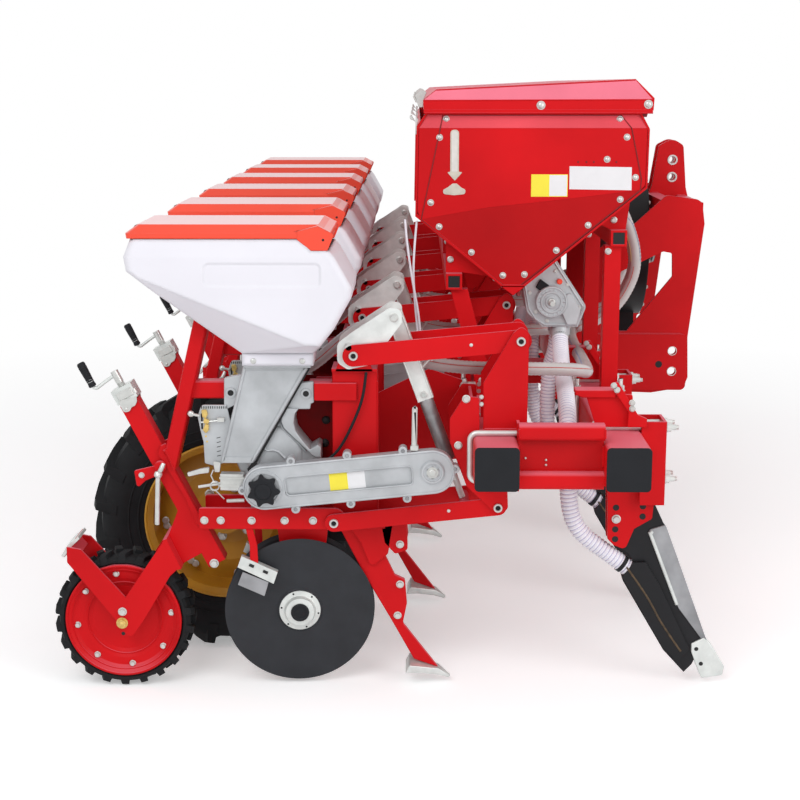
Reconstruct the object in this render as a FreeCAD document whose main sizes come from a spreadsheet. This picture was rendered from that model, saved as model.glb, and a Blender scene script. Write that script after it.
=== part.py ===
import FreeCAD, Part
import math
import os

# Six-row pneumatic corn planter on a twin toolbar, carried by a tractor's three-point hitch.
# Frame: +X forward to the tractor, +Y left, +Z up, millimetres, origin on the ground below the
# middle of the machine. Each row unit hangs on a parallel linkage behind the rear toolbar.

Vector = FreeCAD.Vector
Rotation = FreeCAD.Rotation
Placement = FreeCAD.Placement

document = FreeCAD.newDocument("corn_planter")
sheet = document.addObject("Spreadsheet::Sheet", "dimensions")

# ---------------------------------------------------------------- driving dimensions
dimensions = [
    ("row_count", 6, "planting rows"),
    ("row_pitch", 700, "from one row to the next"),
    ("beam_size", 120, "side of the square toolbars"),
    ("beam_wall", 8, "wall of the toolbars"),
    ("beam_length", 4000, "toolbar length across the machine"),
    ("beam_low", 641, "underside of the toolbars above the ground"),
    ("rear_beam_x", 216, "centre of the rear toolbar"),
    ("front_beam_x", 568, "centre of the front toolbar"),
    ("cap_wall", 6, "plastic end cap of a toolbar"),
    ("end_rail", 60, "height of the rails that join the toolbar ends"),
    ("plate_wall", 8, "ordinary side plate"),
    ("bar_wall", 10, "side bar of a row frame"),
    ("beam_round", 12, "outer corner radius of the toolbars"),
    ("frame_half", 75, "row centre to the outer face of a side bar"),
    ("frame_low", 481, "underside of the row frame"),
    ("frame_tall", 62, "height of the row frame's side bars"),
    ("frame_rear_x", -612, "rear end of the side bars"),
    ("frame_front_x", -200, "front end of the side bars"),
    ("post_depth", 126, "front post of a row unit, along the machine"),
    ("post_width", 80, "front post of a row unit, across"),
    ("post_wall", 5, "wall of the front post"),
    ("post_x", -172, "centre of the front post"),
    ("post_top", 930, "top of the front post"),
    ("upper_pivot_x", -174, "rear pivot of the upper arm"),
    ("upper_pivot_z", 977, "rear pivot of the upper arm"),
    ("upper_front_x", 286, "front pivot of the upper arm"),
    ("upper_front_z", 1020, "front pivot of the upper arm"),
    ("lower_pivot_x", -231, "rear pivot of the lower arm"),
    ("lower_pivot_z", 503, "rear pivot of the lower arm"),
    ("lower_front_x", 228, "front pivot of the lower arm"),
    ("lower_front_z", 552, "front pivot of the lower arm"),
    ("upper_half", 66, "row centre to the inner face of an upper arm"),
    ("lower_half", 79, "row centre to the inner face of a lower arm"),
    ("tower_half", 76, "row centre to the inner face of a tower plate"),
    ("clamp_half", 89, "row centre to the inner face of a clamp plate"),
    ("press_wheel_x", -840, "press wheel axle"),
    ("press_wheel_radius", 200, "press wheel over its lugs"),
    ("press_tyre_width", 100, "press wheel tyre"),
    ("press_rim_radius", 167, "rim of the press wheel"),
    ("fork_half", 62, "row centre to the inner face of a fork plate"),
    ("ground_wheel_x", -585, "ground wheel axle"),
    ("ground_wheel_y", 1400, "ground wheel from the machine's middle"),
    ("ground_wheel_radius", 405, "ground wheel over its lugs"),
    ("ground_tyre_width", 200, "ground wheel tyre"),
    ("ground_rim_radius", 250, "rim flange of the ground wheel"),
    ("disc_x", -334, "hub of the opener discs"),
    ("disc_z", 227, "hub of the opener discs"),
    ("disc_radius", 215, "opener disc"),
    ("disc_wall", 4, "opener disc thickness"),
    ("disc_offset", 25, "row centre to a disc at its hub"),
    ("disc_tilt", 5, "half angle between the two discs, degrees"),
    ("leg_wall", 28, "thickness of the fertilizer opener's leg"),
    ("hopper_wall", 4, "wall of a seed hopper"),
    ("lid_hinge_x", -246, "hinge of a seed hopper lid"),
    ("lid_hinge_z", 1303, "hinge of a seed hopper lid"),
    ("tank_half", 1300, "half the length of the fertilizer hopper"),
    ("tank_wall", 3, "sheet of the fertilizer hopper"),
    ("tank_hinge_x", 712, "hinge of the fertilizer lid"),
    ("tank_hinge_z", 1640, "hinge of the fertilizer lid"),
    ("stand_tube", 50, "square tube under the fertilizer hopper"),
    ("hitch_half", 410, "machine's middle to a lower hitch plate"),
    ("hitch_wall", 12, "lower hitch plate"),
    ("lower_link_x", 938, "lower link holes"),
    ("lower_link_z", 750, "upper one of the lower link holes"),
    ("lower_link_bore", 14.5, "radius of a lower link hole"),
    ("top_link_z", 1360, "lower one of the top link holes"),
    ("top_link_bore", 12.9, "radius of a top link hole"),
    ("fan_x", 795, "middle of the fan housing"),
    ("fan_z", 1120, "centre of the fan"),
    ("fan_radius", 290, "fan housing"),
    ("fan_width", 130, "fan housing, along the machine"),
]
for number, (alias, value, note) in enumerate(dimensions, start=1):
    sheet.set(f"A{number}", note)
    sheet.set(f"B{number}", str(value))
    sheet.setAlias(f"B{number}", alias)
document.recompute()


def size(alias):
    """Number held by one cell of the sheet."""
    return float(getattr(sheet, alias))


def row_y(row):
    """Centre line of a planting row, counted from the right-hand side."""
    return (row - (size("row_count") - 1) / 2) * size("row_pitch")


rows = range(int(size("row_count")))


# ---------------------------------------------------------------- helpers for outlines
def corner_arc(before, corner, after, radius):
    """Tangent arc that rounds one corner of an outline, with its two end points."""
    corner = Vector(corner[0], corner[1], 0)
    to_before = (Vector(before[0], before[1], 0) - corner).normalize()
    to_after = (Vector(after[0], after[1], 0) - corner).normalize()
    half = to_before.getAngle(to_after) / 2
    reach = radius / math.tan(half)
    start = corner + to_before * reach
    end = corner + to_after * reach
    middle_way = (to_before + to_after).normalize()
    middle = corner + middle_way * (radius / math.sin(half) - radius)
    return start, middle, end


def outline_edges(points):
    """Closed outline as lines and arcs; a point (a, b, r) has its corner rounded by r."""
    count = len(points)
    spans = []
    for index, point in enumerate(points):
        if len(point) == 3 and point[2] > 0:
            spans.append(corner_arc(points[index - 1], point, points[(index + 1) % count], point[2]))
        else:
            flat = Vector(point[0], point[1], 0)
            spans.append((flat, None, flat))
    edges = []
    for index, (start, middle, end) in enumerate(spans):
        if middle is not None:
            edges.append(Part.Arc(start, middle, end))
        following = spans[(index + 1) % count][0]
        if end.distanceToPoint(following) > 1e-6:
            edges.append(Part.LineSegment(end, following))
    return edges


def strip(first, second, radius):
    """Outline of a flat bar with round ends about two pins."""
    dx = second[0] - first[0]
    dy = second[1] - first[1]
    length = math.hypot(dx, dy)
    ux, uy = dx / length * radius, dy / length * radius
    return [(first[0] - ux - uy, first[1] - uy + ux, radius * 0.999),
            (first[0] - ux + uy, first[1] - uy - ux, radius * 0.999),
            (second[0] + ux + uy, second[1] + uy - ux, radius * 0.999),
            (second[0] + ux - uy, second[1] + uy + ux, radius * 0.999)]


def rectangle(low_a, low_b, high_a, high_b, radius=0):
    """Outline of a rectangle, its corners rounded by radius."""
    return [(low_a, low_b, radius), (high_a, low_b, radius),
            (high_a, high_b, radius), (low_a, high_b, radius)]


# ---------------------------------------------------------------- helpers for objects
def origin_plane(body, role):
    for feature in body.Origin.OriginFeatures:
        if feature.Role == role:
            return feature


def add_sketch(body, name, role, outlines=(), circles=(), offset=None):
    """Sketch on one of the body's own planes; offset is an expression along its normal."""
    sketch = body.newObject("Sketcher::SketchObject", name)
    sketch.AttachmentSupport = [(origin_plane(body, role), "")]
    sketch.MapMode = "FlatFace"
    if offset is not None:
        sketch.setExpression("AttachmentOffset.Base.z", offset)
    for outline in outlines:
        sketch.addGeometry(outline_edges(outline), False)
    for across, up, radius in circles:
        sketch.addGeometry(Part.Circle(Vector(across, up, 0), Vector(0, 0, 1), radius), False)
    return sketch


def plate(name, outline, thickness, holes=(), windows=()):
    """Flat piece drawn in the XZ plane and thickened evenly to both sides of it."""
    body = document.addObject("PartDesign::Body", name)
    sketch = add_sketch(body, name + "_outline", "XZ_Plane", [outline, *windows], holes)
    pad = body.newObject("PartDesign::Pad", name + "_pad")
    pad.Profile = sketch
    pad.SideType = "Symmetric"
    pad.setExpression("Length", thickness)
    return body


def turned(name, profile):
    """Piece turned about the Y axis; the profile's points are (along Y, radius)."""
    body = document.addObject("PartDesign::Body", name)
    sketch = add_sketch(body, name + "_profile", "YZ_Plane", [profile])
    turn = body.newObject("PartDesign::Revolution", name + "_turn")
    turn.Profile = sketch
    turn.ReferenceAxis = (sketch, ["H_Axis"])
    turn.Angle = 360
    return body


def block(name, low, high):
    """Part::Box between two corners; each coordinate is a number or an expression."""
    box = document.addObject("Part::Box", name)
    for axis, side, start, end in zip("xyz", ("Length", "Width", "Height"), low, high):
        box.setExpression(side, f"({end}) - ({start})")
        box.setExpression(f"Placement.Base.{axis}", f"{start}")
    return box


def rod(name, start, end, radius):
    """Part::Cylinder from one point to another."""
    cylinder = document.addObject("Part::Cylinder", name)
    direction = Vector(*end) - Vector(*start)
    cylinder.setExpression("Radius", f"{radius}")
    cylinder.Height = direction.Length
    cylinder.Placement = Placement(Vector(*start), Rotation(Vector(0, 0, 1), direction))
    return cylinder


def copy_of(source, x=None, y=None, z=None):
    """Linked copy, shifted by expressions."""
    link = document.addObject("App::Link", source.Name + "_copy")
    link.LinkedObject = source
    link.LinkTransform = True
    for axis, shift in zip("xyz", (x, y, z)):
        if shift is not None:
            link.setExpression(f"Placement.Base.{axis}", f"{shift}")
    return link


def both_sides(source, half):
    """Two copies of a plate, at plus and minus the expression."""
    return [copy_of(source, y=f"-({half})"), copy_of(source, y=f"{half}")]


def cut(name, base, tool):
    piece = document.addObject("Part::Cut", name)
    piece.Base = base
    piece.Tool = tool
    return piece


def fused(name, pieces):
    """Pieces welded into one solid."""
    union = document.addObject("Part::MultiFuse", name)
    union.Shapes = pieces
    return union


def gathered(name, pieces):
    """Separate pieces that share a node."""
    group = document.addObject("Part::Compound", name)
    group.Links = pieces
    return group


def one_per_row(name, piece):
    """The same piece on each of the planting rows."""
    middle = "(dimensions.row_count - 1) / 2"
    copies = [copy_of(piece, y=f"({row} - {middle}) * dimensions.row_pitch") for row in rows]
    return gathered(name, copies)


def own_shape(name, shape, placement=None):
    """Part::Feature for a form that no parametric feature fits."""
    feature = document.addObject("Part::Feature", name)
    feature.Shape = shape
    if placement is not None:
        feature.Placement = placement
    return feature


def rounded_path(points, radii):
    """Wire of straight runs joined by tangent arcs."""
    corners = [Vector(*point) for point in points]
    edges = []
    start = corners[0]
    for before, corner, after, radius in zip(corners, corners[1:], corners[2:], radii):
        to_before = (before - corner).normalize()
        to_after = (after - corner).normalize()
        half = to_before.getAngle(to_after) / 2
        if half > 1.57:
            continue
        room = 0.48 * min(before.distanceToPoint(corner), corner.distanceToPoint(after))
        reach = min(radius / math.tan(half), room)
        radius = reach * math.tan(half)
        enter = corner + to_before * reach
        leave = corner + to_after * reach
        middle_way = (to_before + to_after).normalize()
        middle = corner + middle_way * (radius / math.sin(half) - radius)
        edges.append(Part.LineSegment(start, enter).toShape())
        edges.append(Part.Arc(enter, middle, leave).toShape())
        start = leave
    edges.append(Part.LineSegment(start, corners[-1]).toShape())
    return Part.Wire(edges)


def pipe(points, radii, radius):
    """Round bar or hose along a rounded path."""
    path = rounded_path(points, radii)
    direction = Vector(*points[1]) - Vector(*points[0])
    section = Part.Wire(Part.makeCircle(radius, Vector(*points[0]), direction))
    sweep = Part.BRepOffsetAPI.MakePipeShell(path)
    sweep.setFrenetMode(True)
    sweep.add(section)
    sweep.build()
    sweep.makeSolid()
    solid = sweep.shape()
    expected = math.pi * radius * radius * path.Length
    if abs(solid.Volume - expected) > 0.02 * expected:
        raise RuntimeError("a pipe's volume is not its section times its length")
    return solid


nodes = []


def node(piece, label):
    """Name a finished sub-part."""
    piece.Label = label
    nodes.append(piece)
    return piece


# ---------------------------------------------------------------- toolbars
def square_beam(name, centre):
    """Hollow square tube with rounded corners, across the machine."""
    half, wall, corner = size("beam_size") / 2, size("beam_wall"), size("beam_round")
    middle = size("beam_low") + half
    x = size(centre)
    inside = half - wall
    return plate(name, rectangle(x - half, middle - half, x + half, middle + half, corner),
                 "dimensions.beam_length",
                 windows=[rectangle(x - inside, middle - inside, x + inside, middle + inside, corner / 2)])


def end_frame(name, side):
    """Two rails with a recessed web between the toolbars, near one end."""
    front_face = "dimensions.front_beam_x - dimensions.beam_size / 2"
    rear_face = "dimensions.rear_beam_x + dimensions.beam_size / 2"
    outer = "dimensions.beam_length / 2 - 40"
    inner = f"{outer} - 50"
    near, far = (f"-({outer})", f"-({inner})") if side < 0 else (inner, outer)
    low = "dimensions.beam_low"
    high = f"{low} + dimensions.beam_size + 50"
    lower = block(name + "_lower_rail", (rear_face, near, low), (front_face, far, f"{low} + 50"))
    upper = block(name + "_upper_rail", (rear_face, near, f"{high} - dimensions.end_rail"),
                  (front_face, far, high))
    web_near = f"{near} + {30 if side < 0 else 12}"
    web = block(name + "_web", (rear_face, web_near, low), (front_face, f"{web_near} + 8", high))
    return fused(name, [lower, upper, web])


def cross_tube(name, y):
    """Square tube between the toolbars, well inside their ends."""
    front_face = "dimensions.front_beam_x - dimensions.beam_size / 2"
    rear_face = "dimensions.rear_beam_x + dimensions.beam_size / 2"
    return block(name, (rear_face, f"{y} - 40", "dimensions.beam_low + 20"),
                 (front_face, f"{y} + 40", "dimensions.beam_low + 100"))


def make_toolbars():
    pieces = [square_beam("rear_beam", "rear_beam_x"),
              square_beam("front_beam", "front_beam_x"),
              end_frame("right_end_frame", -1),
              end_frame("left_end_frame", 1),
              cross_tube("right_cross_tube", "-560"),
              cross_tube("left_cross_tube", "560")]
    node(fused("toolbar_frame", pieces), "toolbars")


def make_beam_caps():
    half = size("beam_size") / 2
    middle = size("beam_low") + half
    caps = []
    for name, centre in (("rear_cap", "rear_beam_x"), ("front_cap", "front_beam_x")):
        outline = rectangle(size(centre) - half, middle - half, size(centre) + half, middle + half, size("beam_round"))
        cap = plate(name, outline, "dimensions.cap_wall")
        caps += both_sides(cap, "dimensions.beam_length / 2 + dimensions.cap_wall / 2")
    node(gathered("cap_set", caps), "beam_caps")


# ---------------------------------------------------------------- row unit: linkage
def make_row_brackets():
    """Clamp on the rear toolbar with the two towers that carry a row unit's arms."""
    pivot_x, pivot_z = size("upper_front_x"), size("upper_front_z")
    low_x, low_z = size("lower_front_x"), size("lower_front_z")
    beam_back = size("rear_beam_x") - size("beam_size") / 2
    beam_top = size("beam_low") + size("beam_size")
    seat = beam_top + 12
    tower = plate("tower_plate",
                  [(306, seat), (308, 1044, 16), (287, 1062, 14), (264, 1042, 12),
                   (184, 903, 8), (185, seat)],
                  "dimensions.plate_wall", holes=[(pivot_x, pivot_z, 8)])
    clamp = plate("clamp_plate",
                  [(93, 738, 8), (92, 805, 8), (131, 868, 8), (172, 866, 8), (174, 800), (174, beam_top),
                   (beam_back, beam_top), (beam_back, size("beam_low")), (252, size("beam_low")),
                   (256, 552, 14), (low_x + 6, 524, 20), (140, 614, 10)],
                  "dimensions.plate_wall", holes=[(low_x, low_z, 8)])
    towers = both_sides(tower, "dimensions.tower_half + dimensions.plate_wall / 2")
    clamps = both_sides(clamp, "dimensions.clamp_half + dimensions.plate_wall / 2")
    seat_half = "dimensions.clamp_half + dimensions.plate_wall"
    back = block("clamp_back", (beam_back - 8, f"-({seat_half})", 612), (beam_back, seat_half, 862))
    beam_front = size("rear_beam_x") + size("beam_size") / 2
    front = block("clamp_front", (beam_front, -128, 608), (beam_front + 8, 128, 800))
    seat_plate = block("clamp_seat", (beam_back - 8, f"-({seat_half})", beam_top),
                       (314, seat_half, seat))
    bracket = fused("row_bracket", [*towers, *clamps, back, front, seat_plate])
    node(one_per_row("row_bracket_set", bracket), "row_brackets")


def arm_boss(name, x, z, radius, start, end):
    """Pair of spacer rings between an arm and what it turns on."""
    pieces = []
    for side in (-1, 1):
        pieces.append(rod(f"{name}_{'right' if side < 0 else 'left'}",
                          (x, side * start, z), (x, side * end, z), radius))
    return pieces


def make_parallel_arms():
    rear = (size("upper_pivot_x"), size("upper_pivot_z"))
    front = (size("upper_front_x"), size("upper_front_z"))
    wall = size("plate_wall")
    upper_half = size("upper_half")
    upper = plate("upper_arm_plate", strip(rear, front, 30), "dimensions.plate_wall",
                  holes=[(*rear, 8), (*front, 8)])
    upper_plates = both_sides(upper, "dimensions.upper_half + dimensions.plate_wall / 2")
    slope = (front[1] - rear[1]) / (front[0] - rear[0])
    web_back, web_front = 60, 250
    web_low = rear[1] - 30 + 1
    web = plate("upper_arm_web",
                [(web_back, web_low + slope * (web_back - rear[0])),
                 (web_front, web_low + slope * (web_front - rear[0])),
                 (web_front, web_low + slope * (web_front - rear[0]) + 6),
                 (web_back, web_low + slope * (web_back - rear[0]) + 6)],
                "2 * dimensions.upper_half")
    upper_boss = arm_boss("upper_front_boss", *front, 20, upper_half + wall, size("tower_half"))
    upper_arm = fused("upper_arm", [*upper_plates, web, *upper_boss])

    low_rear = (size("lower_pivot_x"), size("lower_pivot_z"))
    low_front = (size("lower_front_x"), size("lower_front_z"))
    lower_half = size("lower_half")
    lower = plate("lower_arm_plate", strip(low_rear, low_front, 25), "dimensions.plate_wall",
                  holes=[(*low_rear, 8), (*low_front, 8)])
    lower_plates = both_sides(lower, "dimensions.lower_half + dimensions.plate_wall / 2")
    tie_x = 137
    tie_z = low_rear[1] + (low_front[1] - low_rear[1]) * (tie_x - low_rear[0]) / (low_front[0] - low_rear[0])
    tie = rod("lower_arm_tie", (tie_x, -lower_half, tie_z), (tie_x, lower_half, tie_z), 15)
    bosses = arm_boss("lower_rear_boss", *low_rear, 18, size("frame_half"), lower_half)
    bosses += arm_boss("lower_front_boss", *low_front, 18, lower_half + wall, size("clamp_half"))
    lower_arm = fused("lower_arm", [*lower_plates, tie, *bosses])
    node(one_per_row("arm_set", gathered("arm_pair", [upper_arm, lower_arm])), "parallel_arms")


def make_pressure_links():
    """Plated levers on the upper rear pivot with the sprung strut that loads the row unit."""
    pivot = (size("upper_pivot_x"), size("upper_pivot_z"))
    lever = plate("lever_plate",
                  [(-219, 1010, 22), (-219, 956, 22), (-190, 937, 16), (-128, 950, 20),
                   (-40, 1068, 12), (-42, 1106, 16), (-74, 1110, 18), (-180, 1040, 25)],
                  "6", holes=[(*pivot, 8)])
    levers = both_sides(lever, "61")
    strut_top = (-62, 0, 1082)
    strut_way = Vector(199, 0, -540.1).normalize()
    channel_end = Vector(*strut_top) + strut_way * 255
    tube_end = Vector(*strut_top) + strut_way * 430
    rod_end = Vector(*strut_top) + strut_way * 559.9
    pin = rod("strut_pin", (strut_top[0], -58, strut_top[2]), (strut_top[0], 58, strut_top[2]), 9)
    across = Vector(-strut_way.z, 0, strut_way.x) * 23
    corners = [Vector(*strut_top) + across, Vector(*strut_top) - across,
               channel_end - across, channel_end + across]
    channel = plate("strut_channel", [(point.x, point.z) for point in corners], "40")
    tube = rod("strut_tube", tuple(channel_end), tuple(tube_end), 17)
    stem = rod("strut_stem", tuple(tube_end), tuple(rod_end), 9)
    link = fused("pressure_link", [*levers, pin, channel, tube, stem])
    node(one_per_row("pressure_link_set", link), "pressure_links")


# ---------------------------------------------------------------- row unit: frame
def make_row_frames():
    low, tall = size("frame_low"), size("frame_tall")
    rear_x, front_x = size("frame_rear_x"), size("frame_front_x")
    bar = plate("side_bar",
                [(rear_x, low, 8), (front_x, low, 30), (front_x, low + tall, 30), (rear_x, low + tall, 8)],
                "dimensions.bar_wall")
    bars = both_sides(bar, "dimensions.frame_half - dimensions.bar_wall / 2")
    inner = "dimensions.frame_half - dimensions.bar_wall"
    floor = block("front_floor", (-262, f"-({inner})", low), (-88, inner, low + 8))
    rear_floor = block("rear_floor", (-592, f"-({inner})", low), (-545, inner, low + 8))
    half_depth = "dimensions.post_depth / 2"
    half_width = "dimensions.post_width / 2"
    post_outside = block("post_outside",
                         (f"dimensions.post_x - {half_depth}", f"-{half_width}", low + 8),
                         (f"dimensions.post_x + {half_depth}", half_width, "dimensions.post_top"))
    wall = "dimensions.post_wall"
    post_inside = block("post_inside",
                        (f"dimensions.post_x - {half_depth} + {wall}", f"-{half_width} + {wall}", low + 20),
                        (f"dimensions.post_x + {half_depth} - {wall}", f"{half_width} - {wall}",
                         "dimensions.post_top + 1"))
    post = cut("post", post_outside, post_inside)
    top = block("post_cap", (f"dimensions.post_x - {half_depth}", -58, "dimensions.post_top"),
                (f"dimensions.post_x + {half_depth}", 58, "dimensions.post_top + 8"))
    pivot_x, pivot_z = size("upper_pivot_x"), size("upper_pivot_z")
    ear = plate("pivot_ear",
                [(-225, size("post_top")), (-120, size("post_top")), (pivot_x + 28, pivot_z + 28, 26),
                 (pivot_x - 28, pivot_z + 28, 26)],
                "dimensions.plate_wall", holes=[(pivot_x, pivot_z, 8)])
    ears = both_sides(ear, "54")
    front_rail = block("front_rail", (-300, -25, 846), (f"dimensions.post_x - {half_depth}", 25, 896))
    rear_rail = block("rear_rail", (-655, -25, 846), (-512, 25, 896))
    column = plate("hopper_column",
                   [(-704, 706), (-660, 706), (-566, 1052), (-612, 1088)], "90")
    shelf = plate("hopper_shelf", hopper_slope_strip(-668, -492, 5), "140")
    guide = plate("column_guide",
                  [(-704, 745, 6), (-655, 745, 6), (-600, 620), (-560, 543), (-560, low), (-612, low),
                   (-650, 560), (-722, 690, 10)],
                  "dimensions.plate_wall")
    guides = both_sides(guide, "30.5")
    carrier = plate("disc_carrier",
                    [(-400, low + 8), (-250, low + 8), (-262, 380), (-312, 240, 20), (-320, 200, 15),
                     (-356, 206, 15), (-372, 260, 20)],
                    "12")
    hanger = block("carrier_hanger", (-400, f"-({inner})", low), (-262, inner, low + 8))
    axles = []
    for side in (-1, 1):
        way = disc_axis(side)
        hub = Vector(size("disc_x"), side * size("disc_offset"), size("disc_z"))
        start = hub - way * (size("disc_offset") - 4)
        axles.append(rod(f"disc_axle_{'right' if side < 0 else 'left'}",
                         tuple(start), tuple(hub + way * 20), 10))
    frame = fused("row_frame", [*bars, floor, rear_floor, post, top, *ears, front_rail, rear_rail,
                                column, shelf, *guides, carrier, hanger, *axles])
    node(one_per_row("row_frame_set", frame), "row_frames")


def disc_axis(side):
    """Outward axis of an opener disc; the pair closes forward and down."""
    tilt = math.radians(size("disc_tilt"))
    pinch = Vector(math.cos(math.radians(30)), 0, -math.sin(math.radians(30)))
    return Vector(pinch.x * math.sin(tilt), side * math.cos(tilt), pinch.z * math.sin(tilt))


def make_discs():
    profile = [(-2, 10.5), (-2, size("disc_radius") - 12), (1, size("disc_radius")),
               (2, size("disc_radius")), (2, 66), (6, 62), (6, 45), (22, 40), (22, 25), (26, 22),
               (26, 0), (21, 0), (21, 10.5)]
    for row in rows:
        for side, hand in ((-1, "right"), (1, "left")):
            disc = turned(f"disc_{row + 1}_{hand}", profile)
            hub = Vector(size("disc_x"), row_y(row) + side * size("disc_offset"), size("disc_z"))
            disc.Placement = Placement(hub, Rotation(Vector(0, 1, 0), disc_axis(side)))
            node(disc, f"opener_disc_{row + 1}_{hand}")


def make_press_wheels():
    radius = size("press_wheel_radius")
    rim = size("press_rim_radius")
    half = size("press_tyre_width") / 2
    tyre_profile = [(-half + 8, rim + 0.5), (half - 8, rim + 0.5), (half, rim + 12, 4),
                    (half - 6, radius - 8, 6), (half - 20, radius, 6), (20 - half, radius, 6),
                    (6 - half, radius - 8, 6), (-half, rim + 12, 4)]
    rim_profile = [(-46, 8.4), (-46, 24), (-24, 26), (-20, 95), (-30, 120), (-34, 140), (-50, rim - 4),
                   (-50, rim), (50, rim), (50, rim - 4), (34, 140), (30, 120), (20, 95), (24, 26),
                   (46, 24), (46, 8.4)]
    for row in rows:
        for name, label, profile in (("press_tyre", "press_tyre", tyre_profile),
                                     ("press_rim", "press_rim", rim_profile)):
            wheel = turned(f"{name}_{row + 1}", profile)
            wheel.setExpression("Placement.Base.x", "dimensions.press_wheel_x")
            wheel.setExpression("Placement.Base.y",
                                f"({row} - (dimensions.row_count - 1) / 2) * dimensions.row_pitch")
            wheel.setExpression("Placement.Base.z", "dimensions.press_wheel_radius")
            node(wheel, f"{label}_{row + 1}")


def make_press_forks():
    """Depth column with the V-shaped fork of the press wheel and its scraper."""
    axle_x, axle_z = size("press_wheel_x"), size("press_wheel_radius")
    fork = plate("fork_plate",
                 [(-990, 425), (-950, 418), (-828, 276), (-713, 446), (-676, 362), (-699, 340),
                  (-780, 205), (-820, 148, 14), (-856, 205), (-990, 380)],
                 "dimensions.plate_wall", holes=[(axle_x, axle_z + 34, 6)])
    forks = both_sides(fork, "dimensions.fork_half + dimensions.plate_wall / 2")
    across = "2 * (dimensions.fork_half + dimensions.plate_wall)"
    fold = plate("fork_fold", [(-717, 446), (-706, 450), (-666, 362), (-677, 358)], across)
    gusset = plate("fork_gusset", [(-708, 444), (-672, 362), (-598, 404), (-668, 548)], "53")
    column = plate("depth_column",
                   [(-831, 823), (-784, 847), (-546, 377), (-593, 353)], "53")
    inside = plate("column_inside",
                   [(-824, 826), (-791, 843), (-552, 374), (-585, 357)], "43")
    tube = cut("depth_tube", fused("column_and_gusset", [column, gusset]), inside)
    scraper = plate("scraper_bar", [(-1010, 392), (-1002, 388), (-960, 440), (-968, 446)], "90")
    scraper_tie = plate("scraper_tie", [(-985, 414), (-978, 420), (-958, 396), (-966, 390)], across)
    axle = rod("press_axle", (axle_x, -size("fork_half") - 14, axle_z),
               (axle_x, size("fork_half") + 14, axle_z), 8)
    unit = fused("press_fork", [*forks, fold, tube, scraper, scraper_tie, axle])
    node(one_per_row("press_fork_set", unit), "press_forks")


def make_depth_cranks():
    """Screw with its crank handle on top of each depth column."""
    cap = plate("column_cap", [(-836, 826), (-780, 854), (-800, 893), (-856, 864)], "60")
    screw = rod("screw", (-826, 0, 872), (-849, 0, 918), 9)
    arm = own_shape("crank_arm", pipe([(-849, 0, 908), (-872, 0, 892), (-906, 0, 866), (-930, 0, 914)],
                                      [8, 9], 5))
    grip = rod("crank_grip", (-912, 0, 878), (-943, 0, 940), 10)
    crank = fused("depth_crank", [cap, screw, arm, grip])
    node(one_per_row("depth_crank_set", crank), "depth_cranks")


def make_tines():
    shank = plate("tine_shank",
                  [(-226, 481), (-110, 481), (-96, 400), (-56, 316), (-28, 306, 8), (-26, 250), (20, 103.2),
                   (-22, 94.8), (-116, 292)],
                  "16", holes=[(-45, 204, 5)])
    collar = plate("tine_collar", [(-196, 481), (-66, 481), (-80, 392, 12), (-130, 350, 12), (-158, 424)], "36")
    spare = plate("tine_stay", [(-96, 481), (-62, 481), (-4, 330), (4, 238), (-22, 250), (-44, 360)], "12")
    tine = fused("tine", [shank, collar, copy_of(spare, y="24")])
    node(one_per_row("tine_set", tine), "tines")


def make_disc_scrapers():
    bracket = plate("scraper_bracket", [(-512, 481), (-492, 481), (-404, 352), (-392, 330), (-410, 322),
                                        (-428, 345), (-516, 455)], "5")
    blade = plate("scraper_blade", [(-500, 372), (-428, 300), (-396, 330), (-470, 400)], "4")
    pieces = [copy_of(bracket, y="-68"), copy_of(bracket, y="68")]
    near = fused("scraper_right", [pieces[0], copy_of(blade, y="-64")])
    far = fused("scraper_left", [pieces[1], copy_of(blade, y="64")])
    node(one_per_row("disc_scraper_set", gathered("scraper_pair", [near, far])), "disc_scrapers")


# ---------------------------------------------------------------- row unit: seed hopper and meter
hopper_sections = [
    # height, rear x, front x, half width
    (985, -480, -284, 170),
    (1060, -574.8, -224, 170),
    (1148, -686, -175, 170),
    (1176, -721.4, -172, 171),
    (1220, -777, -196, 172),
    (1258, -783, -218, 172),
    (1306, -764, -256, 166),
]


def hopper_slope_strip(start, end, wall):
    """Outline of a sheet that lies against the sloping underside of a seed hopper."""
    (low_z, low_x), (high_z, high_x) = ((985, -480), (1220, -777))
    slope = (high_z - low_z) / (high_x - low_x)
    drop = wall * math.hypot(1, slope)
    points = [(x, low_z + slope * (x - low_x) - 0.05) for x in (start, end)]
    return [points[0], points[1], (end, points[1][1] - drop), (start, points[0][1] - drop)]


def hopper_loft(name, inset, rise):
    """Ruled loft through the hopper's rounded sections, drawn in by inset all round."""
    body = document.addObject("PartDesign::Body", name)
    sketches = []
    for index, (height, rear, front, half) in enumerate(hopper_sections):
        last = index == len(hopper_sections) - 1
        outline = rectangle(rear + inset, -half + inset, front - inset, half - inset, 22)
        sketch = add_sketch(body, f"{name}_section_{index}", "XY_Plane", [outline],
                            offset=f"{height + rise if last else height}")
        sketches.append(sketch)
    loft = body.newObject("PartDesign::AdditiveLoft", name + "_loft")
    loft.Profile = sketches[0]
    loft.Sections = sketches[1:]
    loft.Ruled = True
    return body


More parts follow.
